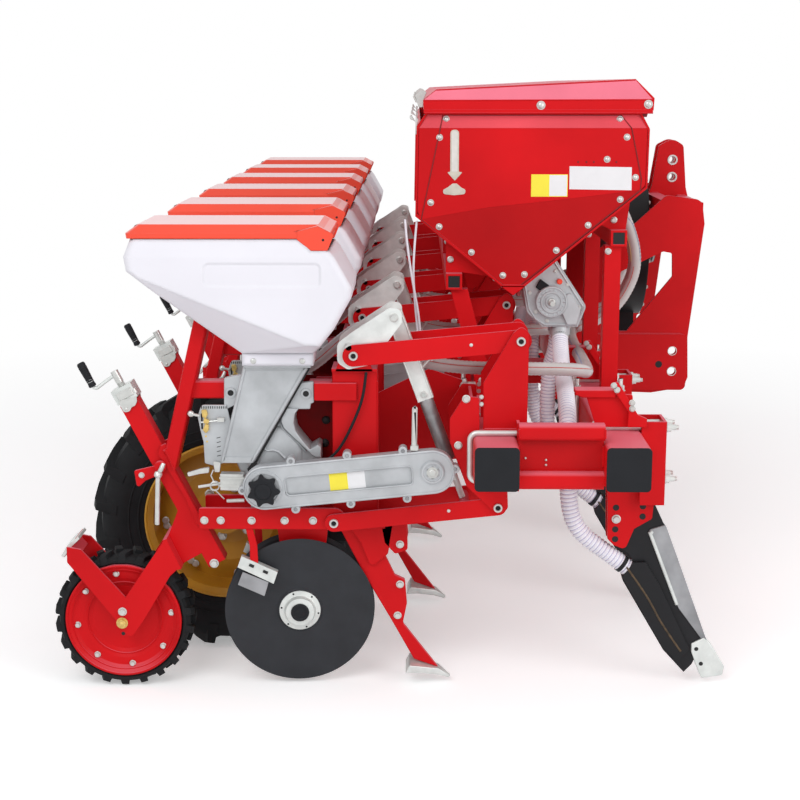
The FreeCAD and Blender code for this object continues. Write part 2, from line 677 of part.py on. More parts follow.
def funnel_cuts(name, inset):
    """Four blocks whose faces slope the hopper's sides in from the ridge to its collar."""
    ridge_rear = Vector(-779, 170, 1217)
    ridge_front = Vector(-294, 170, 1021)
    collar_rear = Vector(-480, 78, 985)
    collar_front = Vector(-284, 78, 985)
    blocks = []
    for side in (-1, 1):
        for label, corners in (("rear", (ridge_rear, ridge_front, collar_rear)),
                               ("front", (ridge_front, collar_front, collar_rear))):
            first, second, third = [Vector(corner.x, side * corner.y, corner.z) for corner in corners]
            outward = (second - first).cross(third - first).normalize()
            if outward.y * side < 0:
                outward = outward * -1
            face = Part.makePlane(2400, 2400, Vector(-1200, -1200, 0))
            block_shape = face.extrude(Vector(0, 0, 400))
            seat = (first + second + third) * (1 / 3) - outward * inset
            hand = "right" if side < 0 else "left"
            blocks.append(own_shape(f"{name}_{label}_{hand}", block_shape,
                                    Placement(seat, Rotation(Vector(0, 0, 1), outward))))
    return blocks


def hopper_form(name, inset, rise):
    """Wide body, sloped funnel and straight collar of a seed hopper, as one solid."""
    body = cut(name + "_body", hopper_loft(name + "_loft_body", inset, rise),
               gathered(name + "_slopes", funnel_cuts(name + "_slope", inset)))
    low, high = (950, 990) if inset == 0 else (949, 1000)
    collar = block(name + "_collar", (-480 + inset, -78 + inset, low), (-284 - inset, 78 - inset, high))
    return fused(name, [body, collar])


def make_seed_hoppers():
    outside = hopper_form("hopper_outside", 0, 0)
    inside = hopper_form("hopper_inside", size("hopper_wall"), 1)
    shoulder = plate("hopper_shoulder",
                     [(-314, 1306.5), (-281, 1276), (-150, 1276), (-150, 1330), (-314, 1330)], "400")
    hopper = cut("seed_hopper", outside, gathered("hopper_cuts", [inside, shoulder]))
    node(one_per_row("seed_hopper_set", hopper), "seed_hoppers")


def make_seed_lids():
    """Hollow lid, its front end hooked down over the hopper's shoulder round the hinge pin."""
    low = size("lid_hinge_z") + 5
    hook = [(-316, low + 20), (-310, low), (-276, 1283, 6), (-240, 1282, 6), (-223, 1322, 8), (-262, low + 34)]

    def lid_form(name, inset, drop):
        body = document.addObject("PartDesign::Body", name)
        sections = [(low - drop, -772, -240, 168), (low + 14, -774, -228, 168), (low + 36, -744, -262, 144)]
        sketches = []
        for index, (height, rear, front, half) in enumerate(sections):
            level = height - inset if index == 2 else height
            outline = rectangle(rear + inset, -half + inset, front - inset, half - inset, 12)
            sketches.append(add_sketch(body, f"{name}_section_{index}", "XY_Plane", [outline],
                                       offset=f"{level}"))
        loft = body.newObject("PartDesign::AdditiveLoft", name + "_loft")
        loft.Profile = sketches[0]
        loft.Sections = sketches[1:]
        loft.Ruled = True
        return body

    outer_hook = plate("lid_hook", hook, "2 * 166")
    inner_hook = plate("lid_hook_inside", [(-330, low + 18), (-330, low - 20), (-276, 1270), (-242, 1270),
                                           (-228, 1321), (-262, low + 30)], "2 * 162")
    shell = cut("lid_shell", fused("lid_outside", [lid_form("lid_top", 0, 0), outer_hook]),
                gathered("lid_cuts", [lid_form("lid_room", 3, 3), inner_hook]))
    for row in rows:
        lid = document.addObject("Part::Compound", f"lid_{row + 1}")
        lid.Links = [copy_of(shell)]
        lid.setExpression("Placement.Base.y",
                          f"({row} - (dimensions.row_count - 1) / 2) * dimensions.row_pitch")
        node(lid, f"seed_lid_{row + 1}")


def make_seed_meters():
    """Cast seed meter: tapered neck, round vacuum housing, lugs on the rails, dosing plate."""
    neck = plate("meter_neck",
                 [(-479, 950), (-300, 950), (-455, 668), (-547, 668)], "110")
    flange = block("meter_flange", (-479, -76, 938), (-286, 76, 950))
    housing = rod("meter_housing", (-400, -20, 740), (-400, 50, 740), 128)
    cover = rod("vacuum_cover", (-400, 50, 740), (-400, 72, 740), 110)
    rear_lug = plate("rear_lug", [(-538, 815, 8), (-493, 838), (-446, 838), (-446, 920), (-492, 918, 8),
                                  (-536, 906, 8)], "14", holes=[(-518, 866, 8)])
    front_lug = plate("front_lug", [(-352, 822), (-287, 821, 8), (-286, 895, 8), (-332, 892), (-352, 880)],
                      "14", holes=[(-308, 864, 8)])
    arm = plate("meter_arm",
                [(-287, 830), (-331, 813), (-343, 786, 20), (-339, 752, 20), (-318, 716, 20), (-272, 681, 12),
                 (-243, 676), (-243, 704), (-266, 708, 10), (-298, 738, 20), (-308, 768, 20),
                 (-300, 800, 10)], "16")
    sector = plate("dosing_plate",
                   [(-612, 800, 10), (-600, 832, 12), (-530, 832), (-500, 690), (-562, 655, 6), (-595, 664, 6),
                    (-597, 725), (-605, 760)],
                   "6", windows=[rectangle(-588, 762, -580, 812, 3.9)])
    outlet = block("seed_tube", (-470, -20, 500), (-420, 20, 660))
    drive = rod("meter_drive", (-419, -97, 615), (-419, 0, 615), 24)
    foot = block("meter_foot", (-470, -30, 600), (-380, 30, 660))
    port = block("vacuum_port", (-384, 72, 770), (-330, 122, 842))
    pieces = [neck, flange, housing, cover, port, copy_of(rear_lug, y="-32"), copy_of(front_lug, y="-32"),
              copy_of(arm, y="-40"), copy_of(sector, y="-40"), outlet, drive, foot]
    node(one_per_row("seed_meter_set", fused("seed_meter", pieces)), "seed_meters")


def make_chain_cases():
    """Chain case beside each row frame: raised edge band, recessed face, bolt lugs, bearing boss."""
    rear, front = (-419, 615), (45, 662)
    panel = plate("case_panel", strip(rear, front, 62), "24")
    recess = [(-362, 591, 10), (-8, 627, 10), (-12, 682, 10), (-362, 646, 10)]
    band = plate("case_band", strip(rear, front, 62), "31", windows=[recess])
    pieces = [copy_of(panel, y="-109"), copy_of(band, y="-112.5")]
    lugs = [(-346, 692), (-191, 708), (-37, 722), (107, 671), (-25, 587), (-181, 571), (-334, 555),
            (-481, 608)]
    for index, (x, z) in enumerate(lugs):
        pieces.append(rod(f"case_lug_{index}", (x, -128, z), (x, -97, z), 12))
    pieces.append(rod("case_boss", (front[0], -133, front[1]), (front[0], -110, front[1]), 33))
    pieces.append(rod("case_hub", (rear[0], -133, rear[1]), (rear[0], -110, rear[1]), 50))
    node(one_per_row("chain_case_set", fused("chain_case", pieces)), "chain_cases")


# ---------------------------------------------------------------- fertilizer line
def make_opener_clamps():
    """Channel on the front toolbar with the cheek plates that hold an opener leg."""
    beam_front = size("front_beam_x") + size("beam_size") / 2
    low = size("beam_low")
    flange = plate("clamp_flange", rectangle(beam_front, 548, beam_front + 70, 788), "dimensions.plate_wall")
    flanges = both_sides(flange, "48")
    web = block("clamp_web", (beam_front + 62, -52, 548), (beam_front + 70, 52, 788))
    sole = block("clamp_sole", (beam_front - 106, -52, low - 12), (beam_front + 62, 52, low))
    cheek = plate("opener_cheek",
                  [(540, low - 6), (beam_front + 62, low - 6), (beam_front + 62, 548), (674, 548), (670, 500, 10),
                   (620, 470), (596, 408, 14), (563, 422, 8), (545, 440, 8)],
                  "dimensions.plate_wall",
                  holes=[(568, 530, 6), (567, 466, 6), (568, 437, 6), (644, 534, 6), (644, 504, 6)])
    cheeks = both_sides(cheek, "dimensions.leg_wall / 2 + dimensions.plate_wall / 2")
    clamp = fused("opener_clamp", [*flanges, web, sole, *cheeks])
    node(one_per_row("opener_clamp_set", clamp), "opener_clamps")


def make_u_bolts():
    """U-bolts round each toolbar, drawn up against the row bracket and the opener clamp."""
    radius = 8
    half = size("beam_size") / 2
    high = size("beam_low") + 2 * half + radius
    bend = size("beam_round") + radius
    pieces = []
    for name, centre, reach, packing, across in (("rear", size("rear_beam_x"), half, 0, "112"),
                                                 ("front", size("front_beam_x"), half + 62, 12, "34")):
        low = size("beam_low") - packing - radius
        closed = centre - half - radius
        open_end = centre + reach
        loop = own_shape(f"{name}_u_bolt",
                         pipe([(open_end, 0, high), (closed, 0, high), (closed, 0, low), (open_end, 0, low)],
                              [bend, bend], radius))
        pieces += both_sides(loop, across)
        for level, height in (("upper", high), ("lower", low)):
            face = (open_end + 8, 0, height)
            stem = rod(f"{name}_{level}_stem", face, (open_end + 36, 0, height), radius)
            nut = rod(f"{name}_{level}_nut", face, (open_end + 22, 0, height), 13)
            pieces += both_sides(fused(f"{name}_{level}_tail", [stem, nut]), across)
    node(one_per_row("u_bolt_set", gathered("u_bolt_group", pieces)), "u_bolts")


def make_fertilizer_openers():
    leg = plate("opener_leg",
                [(560, 628), (676, 545), (707, 480), (742, 385), (836, 135), (800, 60), (778, 36),
                 (716, 104), (594, 312), (590, 328), (622, 371), (608, 394, 6), (566, 424), (550, 446)],
                "dimensions.leg_wall")
    boot = plate("opener_boot",
                 [(622, 371), (590, 328), (712, 118), (756, 74), (790, 110), (700, 300), (656, 372)], "52")
    opener = fused("fertilizer_opener", [leg, boot])
    node(one_per_row("fertilizer_opener_set", opener), "fertilizer_openers")


def make_soil_points():
    """Replaceable steel: the opener's shin and point, and the foot of the tine."""
    shin = plate("opener_shin", [(708, 482), (728, 474), (858, 128), (838, 130), (742, 385)],
                 "dimensions.leg_wall")
    point = plate("opener_point", [(802, 62), (838, 132), (862, 122), (905, 30), (902, 0), (840, 0), (780, 34)],
                  "40")
    foot = plate("tine_foot", [(-36, 92), (34, 106), (100, 34), (96, 24), (-20, 60)], "110")
    front = fused("shin_and_point", [shin, point])
    node(one_per_row("soil_point_set", gathered("soil_point_pair", [front, foot])), "soil_points")


tank_profile = [(-5, 1315), (-1, 1585), (28, 1627), (671, 1627), (699, 1577), (697, 1400),
                (330, 1100), (262, 1100)]


def make_fertilizer_hopper():
    outside = plate("tank_outside", tank_profile, "2 * dimensions.tank_half")
    wall = size("tank_wall")
    inner = [(-5 + wall, 1316), (-1 + wall, 1584), (29, 1640), (670, 1640), (699 - wall, 1577),
             (697 - wall, 1402), (330 - 1, 1100 + wall), (262 + 2, 1100 + wall)]
    inside = plate("tank_inside", inner, "2 * (dimensions.tank_half - dimensions.tank_wall - 8)")
    recess = plate("tank_end_recess",
                   [(1, 1322), (5, 1578), (30, 1619), (668, 1619), (693, 1574), (691, 1403), (328, 1106),
                    (264, 1106)], "16")
    ends = [copy_of(recess, y="dimensions.tank_half"), copy_of(recess, y="-dimensions.tank_half")]
    node(cut("fertilizer_tank", outside, gathered("tank_cuts", [inside, *ends])), "fertilizer_hopper")


def make_fertilizer_lid():
    profile = [(20, 1632), (18, 1662), (58, 1694), (650, 1724), (708, 1668), (706, 1632)]
    outside = plate("tank_lid_outside", profile, "2 * (dimensions.tank_half + 12)")
    inner = [(22, 1630), (21, 1661), (59, 1691), (649, 1721), (704, 1667), (703, 1630)]
    inside = plate("tank_lid_inside", inner, "2 * (dimensions.tank_half + 9)")
    node(cut("tank_lid", outside, inside), "fertilizer_lid")


def make_hopper_stand():
    """Posts and cross tubes that carry the fertilizer hopper on the toolbars."""
    top = size("beam_low") + size("beam_size")
    reach = 1280
    front_rail = block("front_stand_rail", (593, -reach, 1222), (643, reach, 1272))
    rear_rail = block("rear_stand_rail", (90, -reach, 1088), (140, reach, 1138))
    post = block("front_stand_post", (578, -25, top), (628, 25, 1222))
    leg = plate("rear_stand_leg", [(194, top), (246, top), (158, 1088), (104, 1088)], "50")
    front_gusset = plate("front_stand_gusset", [(593, 1272), (643, 1272), (655, 1365.6), (560, 1288)], "6")
    rear_gusset = plate("rear_stand_gusset", [(90, 1138), (140, 1138), (232, 1124.1), (90, 1238.4)], "6")
    pieces = [front_rail, rear_rail]
    for place in (-1240, -700, 700, 1240):
        pieces += [copy_of(post, y=f"{place}"), copy_of(leg, y=f"{place}"),
                   copy_of(front_gusset, y=f"{place}"), copy_of(rear_gusset, y=f"{place}")]
    node(fused("tank_stand", pieces), "hopper_stand")


meter_places = (-1150, 0, 1150)


def make_fertilizer_meters():
    body = plate("dosing_body", [(330, 1098), (345, 1010, 30), (395, 965), (505, 965), (530, 1030, 20),
                                 (430, 1180)], "150")
    face = rod("dosing_wheel", (420, -90, 1045), (420, 90, 1045), 50)
    meter = fused("dosing_meter", [body, face])
    node(gathered("dosing_meter_set", [copy_of(meter, y=f"{place}") for place in meter_places]),
         "fertilizer_meters")


def make_fertilizer_hoses():
    hoses = []
    for row in rows:
        row_place = row_y(row)
        meter = meter_places[row // 2]
        outlet = meter - 42 if row % 2 == 0 else meter + 42
        end_y = row_place
        points = [(452, outlet, 964), (452, outlet, 880), (430, end_y, 800),
                  (430, end_y, 560), (455, end_y, 462), (540, end_y, 398), (606, end_y, 350)]
        hoses.append(own_shape(f"hose_{row + 1}", pipe(points, [70, 70, 70, 60, 60], 23)))
    node(gathered("hose_set", hoses), "fertilizer_hoses")


# ---------------------------------------------------------------- hitch and fan
def make_hitch():
    """Lower link plates and the top link mast, welded to the front toolbar."""
    front = size("front_beam_x") + size("beam_size") / 2
    link_x, link_z = size("lower_link_x"), size("lower_link_z")
    bore = size("lower_link_bore")
    side = plate("link_plate",
                 [(front, 600), (866, 592), (985, 612, 30), (1000, 650), (994, 800), (1040, 1215),
                  (1028, 1300, 30), (900, 1317, 20), (780, 1207), (front, 1100)],
                 "dimensions.hitch_wall",
                 holes=[(link_x, link_z, bore), (link_x, link_z - 76, bore), (888, 704, 11)],
                 windows=[[(700, 820), (770, 822), (930, 1023, 10), (927, 1108, 10), (894, 1114, 10),
                           (700, 1020)]])
    doubler = plate("link_doubler", rectangle(front, 604, 990, 812, 20), "10",
                    holes=[(link_x, link_z, bore), (link_x, link_z - 76, bore)])
    mast = plate("mast_plate",
                 [(880, 1262), (1040, 1240), (1040, 1290), (1032, 1320), (1018, 1480, 20), (976, 1506, 40),
                  (925, 1480, 20), (902, 1330)],
                 "12",
                 holes=[(978, size("top_link_z"), size("top_link_bore")),
                        (978, size("top_link_z") + 65, size("top_link_bore"))])
    head = block("mast_tie", (996, "-dimensions.hitch_half", 1236), (1034, "dimensions.hitch_half", 1290))
    back = block("rear_mast_tie", (880, "-dimensions.hitch_half", 1250),
                 (930, "dimensions.hitch_half", 1300))
    outer = "dimensions.hitch_half + dimensions.hitch_wall / 2"
    pieces = [copy_of(side, y="-dimensions.hitch_half"), copy_of(side, y="dimensions.hitch_half"),
              copy_of(doubler, y=f"-({outer} + 5)"), copy_of(doubler, y=f"{outer} + 5"),
              copy_of(mast, y="-36"), copy_of(mast, y="36"), head, back]
    node(fused("hitch_frame", pieces), "hitch_tower")


def make_fan():
    x, z = size("fan_x"), size("fan_z")
    half = size("fan_width") / 2
    housing = rod("fan_housing", (x - half, 0, z), (x + half, 0, z), "dimensions.fan_radius")
    hub = rod("fan_hub", (x + half, 0, z), (x + half + 60, 0, z), 90)
    manifold = block("fan_manifold", (x - half - 60, -230, 1214), (x - half, 230, 1354))
    foot = block("fan_foot", (x - 45, -90, 700), (x + 45, 90, z - 200))
    bridge = block("fan_bridge", ("dimensions.front_beam_x + dimensions.beam_size / 2", -90, 700),
                   (x + 45, 90, 712))
    node(fused("fan", [housing, hub, manifold, foot, bridge]), "vacuum_fan")


def make_air_hoses():
    """Hoses from the fan over the toolbars to the vacuum side of each seed meter."""
    manifold_x = size("fan_x") - size("fan_width") / 2 - 30
    level = 905
    hoses = []
    for row in rows:
        place = row_y(row)
        side = 1 if place > 0 else -1
        rank = row - 3 if side > 0 else 2 - row
        start_z = 1238 + 46 * rank
        lane = place + 130
        drop_y = -330 if row == 2 else side * (480 + 50 * rank)
        shared = [(manifold_x, side * 230, start_z), (manifold_x, drop_y, start_z),
                  (788, drop_y, 1110), (735, drop_y, 960)]
        if row == 4:
            shared += [(620, drop_y, level), (520, drop_y + 40, level), (520, place - 120, level),
                       (470, place - 5, level), (400, place - 5, level), (335, lane, level)]
        elif rank == 1:
            shared += [(620, drop_y, level), (520, drop_y + side * 40, level),
                       (520, lane - side * 110, level), (450, lane, level)]
        elif rank == 2:
            shared += [(640, drop_y, 880), (520, drop_y + side * 40, 862), (520, lane - side * 150, 862),
                       (470, lane, level)]
        else:
            shared += [(660, drop_y, level), (545, lane, level)]
        shared += [(60, lane, level), (-60, lane, 965), (-148, lane, 1040), (-225, lane, 980),
                   (-300, place + 112, 915), (-357, place + 97, 900), (-357, place + 97, 843)]
        hoses.append(own_shape(f"air_hose_{row + 1}", pipe(shared, [80] * (len(shared) - 2), 19)))
    node(gathered("air_hose_set", hoses), "air_hoses")


# ---------------------------------------------------------------- ground wheels
def make_ground_wheels():
    radius = size("ground_wheel_radius")
    rim = size("ground_rim_radius")
    half = size("ground_tyre_width") / 2
    tyre_profile = [(-66, rim - 24.5), (66, rim - 24.5), (78, rim, 6), (half, rim + 60, 25),
                    (half - 6, radius - 25, 12), (half - 40, radius, 20), (40 - half, radius, 20),
                    (6 - half, radius - 25, 12), (-half, rim + 60, 25), (-78, rim, 6)]
    rim_profile = [(-80, rim - 10), (-66, rim - 25), (66, rim - 25), (80, rim - 10), (80, rim - 16),
                   (66, rim - 31), (40, rim - 34), (20, 150), (34, 100), (34, 60), (70, 50), (70, 20.5),
                   (-50, 20.5), (-50, 50), (22, 60), (22, 100), (8, 150), (26, rim - 34), (-66, rim - 31),
                   (-80, rim - 16)]
    for hand, side in (("right", -1), ("left", 1)):
        for name, profile in (("ground_tyre", tyre_profile), ("ground_rim", rim_profile)):
            wheel = turned(f"{name}_{hand}", profile)
            wheel.setExpression("Placement.Base.x", "dimensions.ground_wheel_x")
            wheel.setExpression("Placement.Base.y", f"{side} * dimensions.ground_wheel_y")
            wheel.setExpression("Placement.Base.z", "dimensions.ground_wheel_radius")
            node(wheel, f"{name}_{hand}")


def make_ground_wheel_arms():
    beam_back = size("rear_beam_x") - size("beam_size") / 2
    axle_x, axle_z = size("ground_wheel_x"), size("ground_wheel_radius")
    arm = plate("wheel_arm",
                [(beam_back, 600), (beam_back, 800), (40, 840), (-250, 700), (axle_x - 20, axle_z + 60, 40),
                 (axle_x - 50, axle_z - 30, 40), (axle_x + 60, axle_z - 50, 40), (-100, 480)],
                "dimensions.plate_wall")
    pad = block("wheel_arm_pad", (beam_back - 10, -130, 600), (beam_back, 150, 800))
    axle = rod("wheel_axle", (axle_x, -60, axle_z), (axle_x, 140, axle_z), 20)
    unit = fused("wheel_arm_unit", [copy_of(arm, y="128"), pad, axle])
    node(gathered("wheel_arm_set", [copy_of(unit, y="-dimensions.ground_wheel_y"),
                                    copy_of(unit, y="dimensions.ground_wheel_y")]), "ground_wheel_arms")


# ---------------------------------------------------------------- build and export
def export_nodes():
    document.recompute()
    for item in document.Objects:
        if "Invalid" in item.State or "Error" in item.State:
            raise RuntimeError(f"{item.Name} did not build: {item.State}")
    os.makedirs("parts", exist_ok=True)
    for piece in nodes:
        shape = Part.getShape(piece) if piece.TypeId == "App::Link" else piece.Shape
        if shape.isNull() or not shape.isValid():
            raise RuntimeError(f"{piece.Label} has no valid shape")
        shape.exportStep(f"parts/{piece.Label}.step")
        print(f"{piece.Label}: {len(shape.Solids)} solids, {shape.Volume / 1e6:.2f} litres")
    print(len(nodes), "nodes")


make_toolbars()
make_beam_caps()
make_row_brackets()
make_parallel_arms()
make_pressure_links()
make_row_frames()
make_discs()
make_press_wheels()
make_press_forks()
make_depth_cranks()
make_tines()
make_disc_scrapers()
make_seed_hoppers()
make_seed_lids()
make_seed_meters()
make_chain_cases()
make_opener_clamps()
make_u_bolts()
make_fertilizer_openers()
make_soil_points()
make_fertilizer_hopper()
make_fertilizer_lid()
make_hopper_stand()
make_fertilizer_meters()
make_fertilizer_hoses()
make_hitch()
make_fan()
make_air_hoses()
make_ground_wheels()
make_ground_wheel_arms()
export_nodes()
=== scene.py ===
import math

import bmesh
import bpy
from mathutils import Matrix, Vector


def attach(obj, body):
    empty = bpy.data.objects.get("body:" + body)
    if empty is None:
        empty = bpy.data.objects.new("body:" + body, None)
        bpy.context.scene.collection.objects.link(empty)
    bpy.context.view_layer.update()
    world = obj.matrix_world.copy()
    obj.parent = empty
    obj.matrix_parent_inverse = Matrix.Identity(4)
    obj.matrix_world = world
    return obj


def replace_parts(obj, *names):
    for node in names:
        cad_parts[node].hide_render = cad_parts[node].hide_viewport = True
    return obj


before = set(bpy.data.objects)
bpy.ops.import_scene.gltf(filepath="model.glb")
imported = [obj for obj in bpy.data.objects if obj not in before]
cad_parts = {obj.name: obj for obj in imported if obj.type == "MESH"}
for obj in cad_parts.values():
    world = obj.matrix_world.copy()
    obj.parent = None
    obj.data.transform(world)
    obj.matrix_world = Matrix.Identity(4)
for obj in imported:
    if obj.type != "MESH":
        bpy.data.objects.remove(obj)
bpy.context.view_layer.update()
scene = bpy.context.scene

rowPlaces = [(row - 2.5) * 0.7 for row in range(6)]
hull = "planter_frame"  # the body everything fixed rides on
sides = (-1.0, 1.0)  # right and left
white = (1.0, 1.0, 1.0, 1.0)

# camera and light: a long lens at the near end, soft daylight from the camera's side
cameraSetup = {"place": (0.0, -5.951, 1.71), "tiltDown": 11.72, "turnLeft": 0.63, "lens": 68.6, "sensor": 36.0}

lightSetup = {
    "skyLevel": 0.61, "aim": (0.0, 0.0, 0.8),
    # place, watts and size
    "lamps": {"key": ((-2.6, -6.5, 5.5), 174.0, 4.0), "fill": ((4.5, -5.0, 2.6), 108.0, 3.5)},
    "floorColour": (0.9, 0.9, 0.91), "floorLift": 0.34, "fadeFrom": 2.6, "fadeTo": 4.6, "floorReach": 60.0,
}


def addCamera(setup):
    data = bpy.data.cameras.new("camera")
    data.lens = setup["lens"]
    data.sensor_width = setup["sensor"]
    data.clip_end = 200.0
    camera = bpy.data.objects.new("camera", data)
    camera.location = setup["place"]
    camera.rotation_euler = (math.radians(90.0 - setup["tiltDown"]), 0.0, math.radians(setup["turnLeft"]))
    scene.collection.objects.link(camera)
    scene.camera = camera


def addLamp(name, place, watts, size):
    data = bpy.data.lights.new(name, "AREA")
    data.energy = watts
    data.size = size
    lamp = bpy.data.objects.new(name, data)
    lamp.location = place
    lamp.rotation_euler = (Vector(lightSetup["aim"]) - Vector(place)).to_track_quat("-Z", "Y").to_euler()
    scene.collection.objects.link(lamp)


# inputs are named or numbered; each takes a value or another node's output
def feed(node, inputs):
    for name, value in inputs.items():
        if isinstance(value, bpy.types.NodeSocket):
            node.id_data.links.new(value, node.inputs[name])
        else:
            node.inputs[name].default_value = value


def addNode(tree, kind, inputs, **settings):
    node = tree.nodes.new("ShaderNode" + kind)
    for name, value in settings.items():
        setattr(node, name, value)
    feed(node, inputs)
    return node


# one for rays from the camera, off gloss and through glass
def seenRay(tree):
    path = addNode(tree, "LightPath", {}).outputs
    first = addNode(tree, "Math", {0: path["Is Camera Ray"], 1: path["Is Glossy Ray"]}, operation="MAXIMUM")
    inputs = {0: first.outputs[0], 1: path["Is Transmission Ray"]}
    return addNode(tree, "Math", inputs, operation="MAXIMUM").outputs[0]


def setWorld(level):
    world = bpy.data.worlds.new("daylight")
    scene.world = world
    world.use_nodes = True
    tree = world.node_tree
    back = tree.nodes["Background"]
    feed(back, {"Strength": level, "Color": white})
    seen = addNode(tree, "Background", {"Strength": 1.0, "Color": white})
    mix = addNode(tree, "MixShader", {0: seenRay(tree), 1: back.outputs[0], 2: seen.outputs[0]})
    feed(tree.nodes["World Output"], {"Surface": mix.outputs[0]})


# pure white away from the machine, its own shadow close to it
def addFloor(setup):
    mesh = bpy.data.meshes.new("floor")
    reach = setup["floorReach"]
    mesh.from_pydata([(-reach, -reach, 0), (reach, -reach, 0), (reach, reach, 0), (-reach, reach, 0)], [],
                     [(0, 1, 2, 3)])
    floor = bpy.data.objects.new("floor", mesh)
    scene.collection.objects.link(floor)
    material = bpy.data.materials.new("paleFloor")
    material.use_nodes = True
    tree = material.node_tree
    shader = tree.nodes["Principled BSDF"]
    feed(shader, {"Base Color": (*setup["floorColour"], 1.0), "Roughness": 0.9, "Specular IOR Level": 0.0})
    lift = addNode(tree, "Emission", {"Strength": setup["floorLift"]})
    glow = addNode(tree, "Emission", {"Strength": 1.0})
    both = addNode(tree, "AddShader", {0: shader.outputs[0], 1: lift.outputs[0]})
    place = addNode(tree, "TexCoord", {}).outputs["Object"]
    away = addNode(tree, "VectorMath", {0: place}, operation="LENGTH").outputs["Value"]
    fade = addNode(tree, "MapRange", {"From Min": setup["fadeFrom"], "From Max": setup["fadeTo"],
                                      "Value": away})
    near = addNode(tree, "MixShader", {0: fade.outputs["Result"], 1: both.outputs[0], 2: glow.outputs[0]})
    seen = addNode(tree, "MixShader", {0: seenRay(tree), 1: shader.outputs[0], 2: near.outputs[0]})
    feed(tree.nodes["Material Output"], {"Surface": seen.outputs[0]})
    mesh.materials.append(material)


scene.view_settings.view_transform = "Standard"
addCamera(cameraSetup)
setWorld(lightSetup["skyLevel"])
for name, lamp in lightSetup["lamps"].items():
    addLamp(name, *lamp)
addFloor(lightSetup)
print("camera, light and floor")

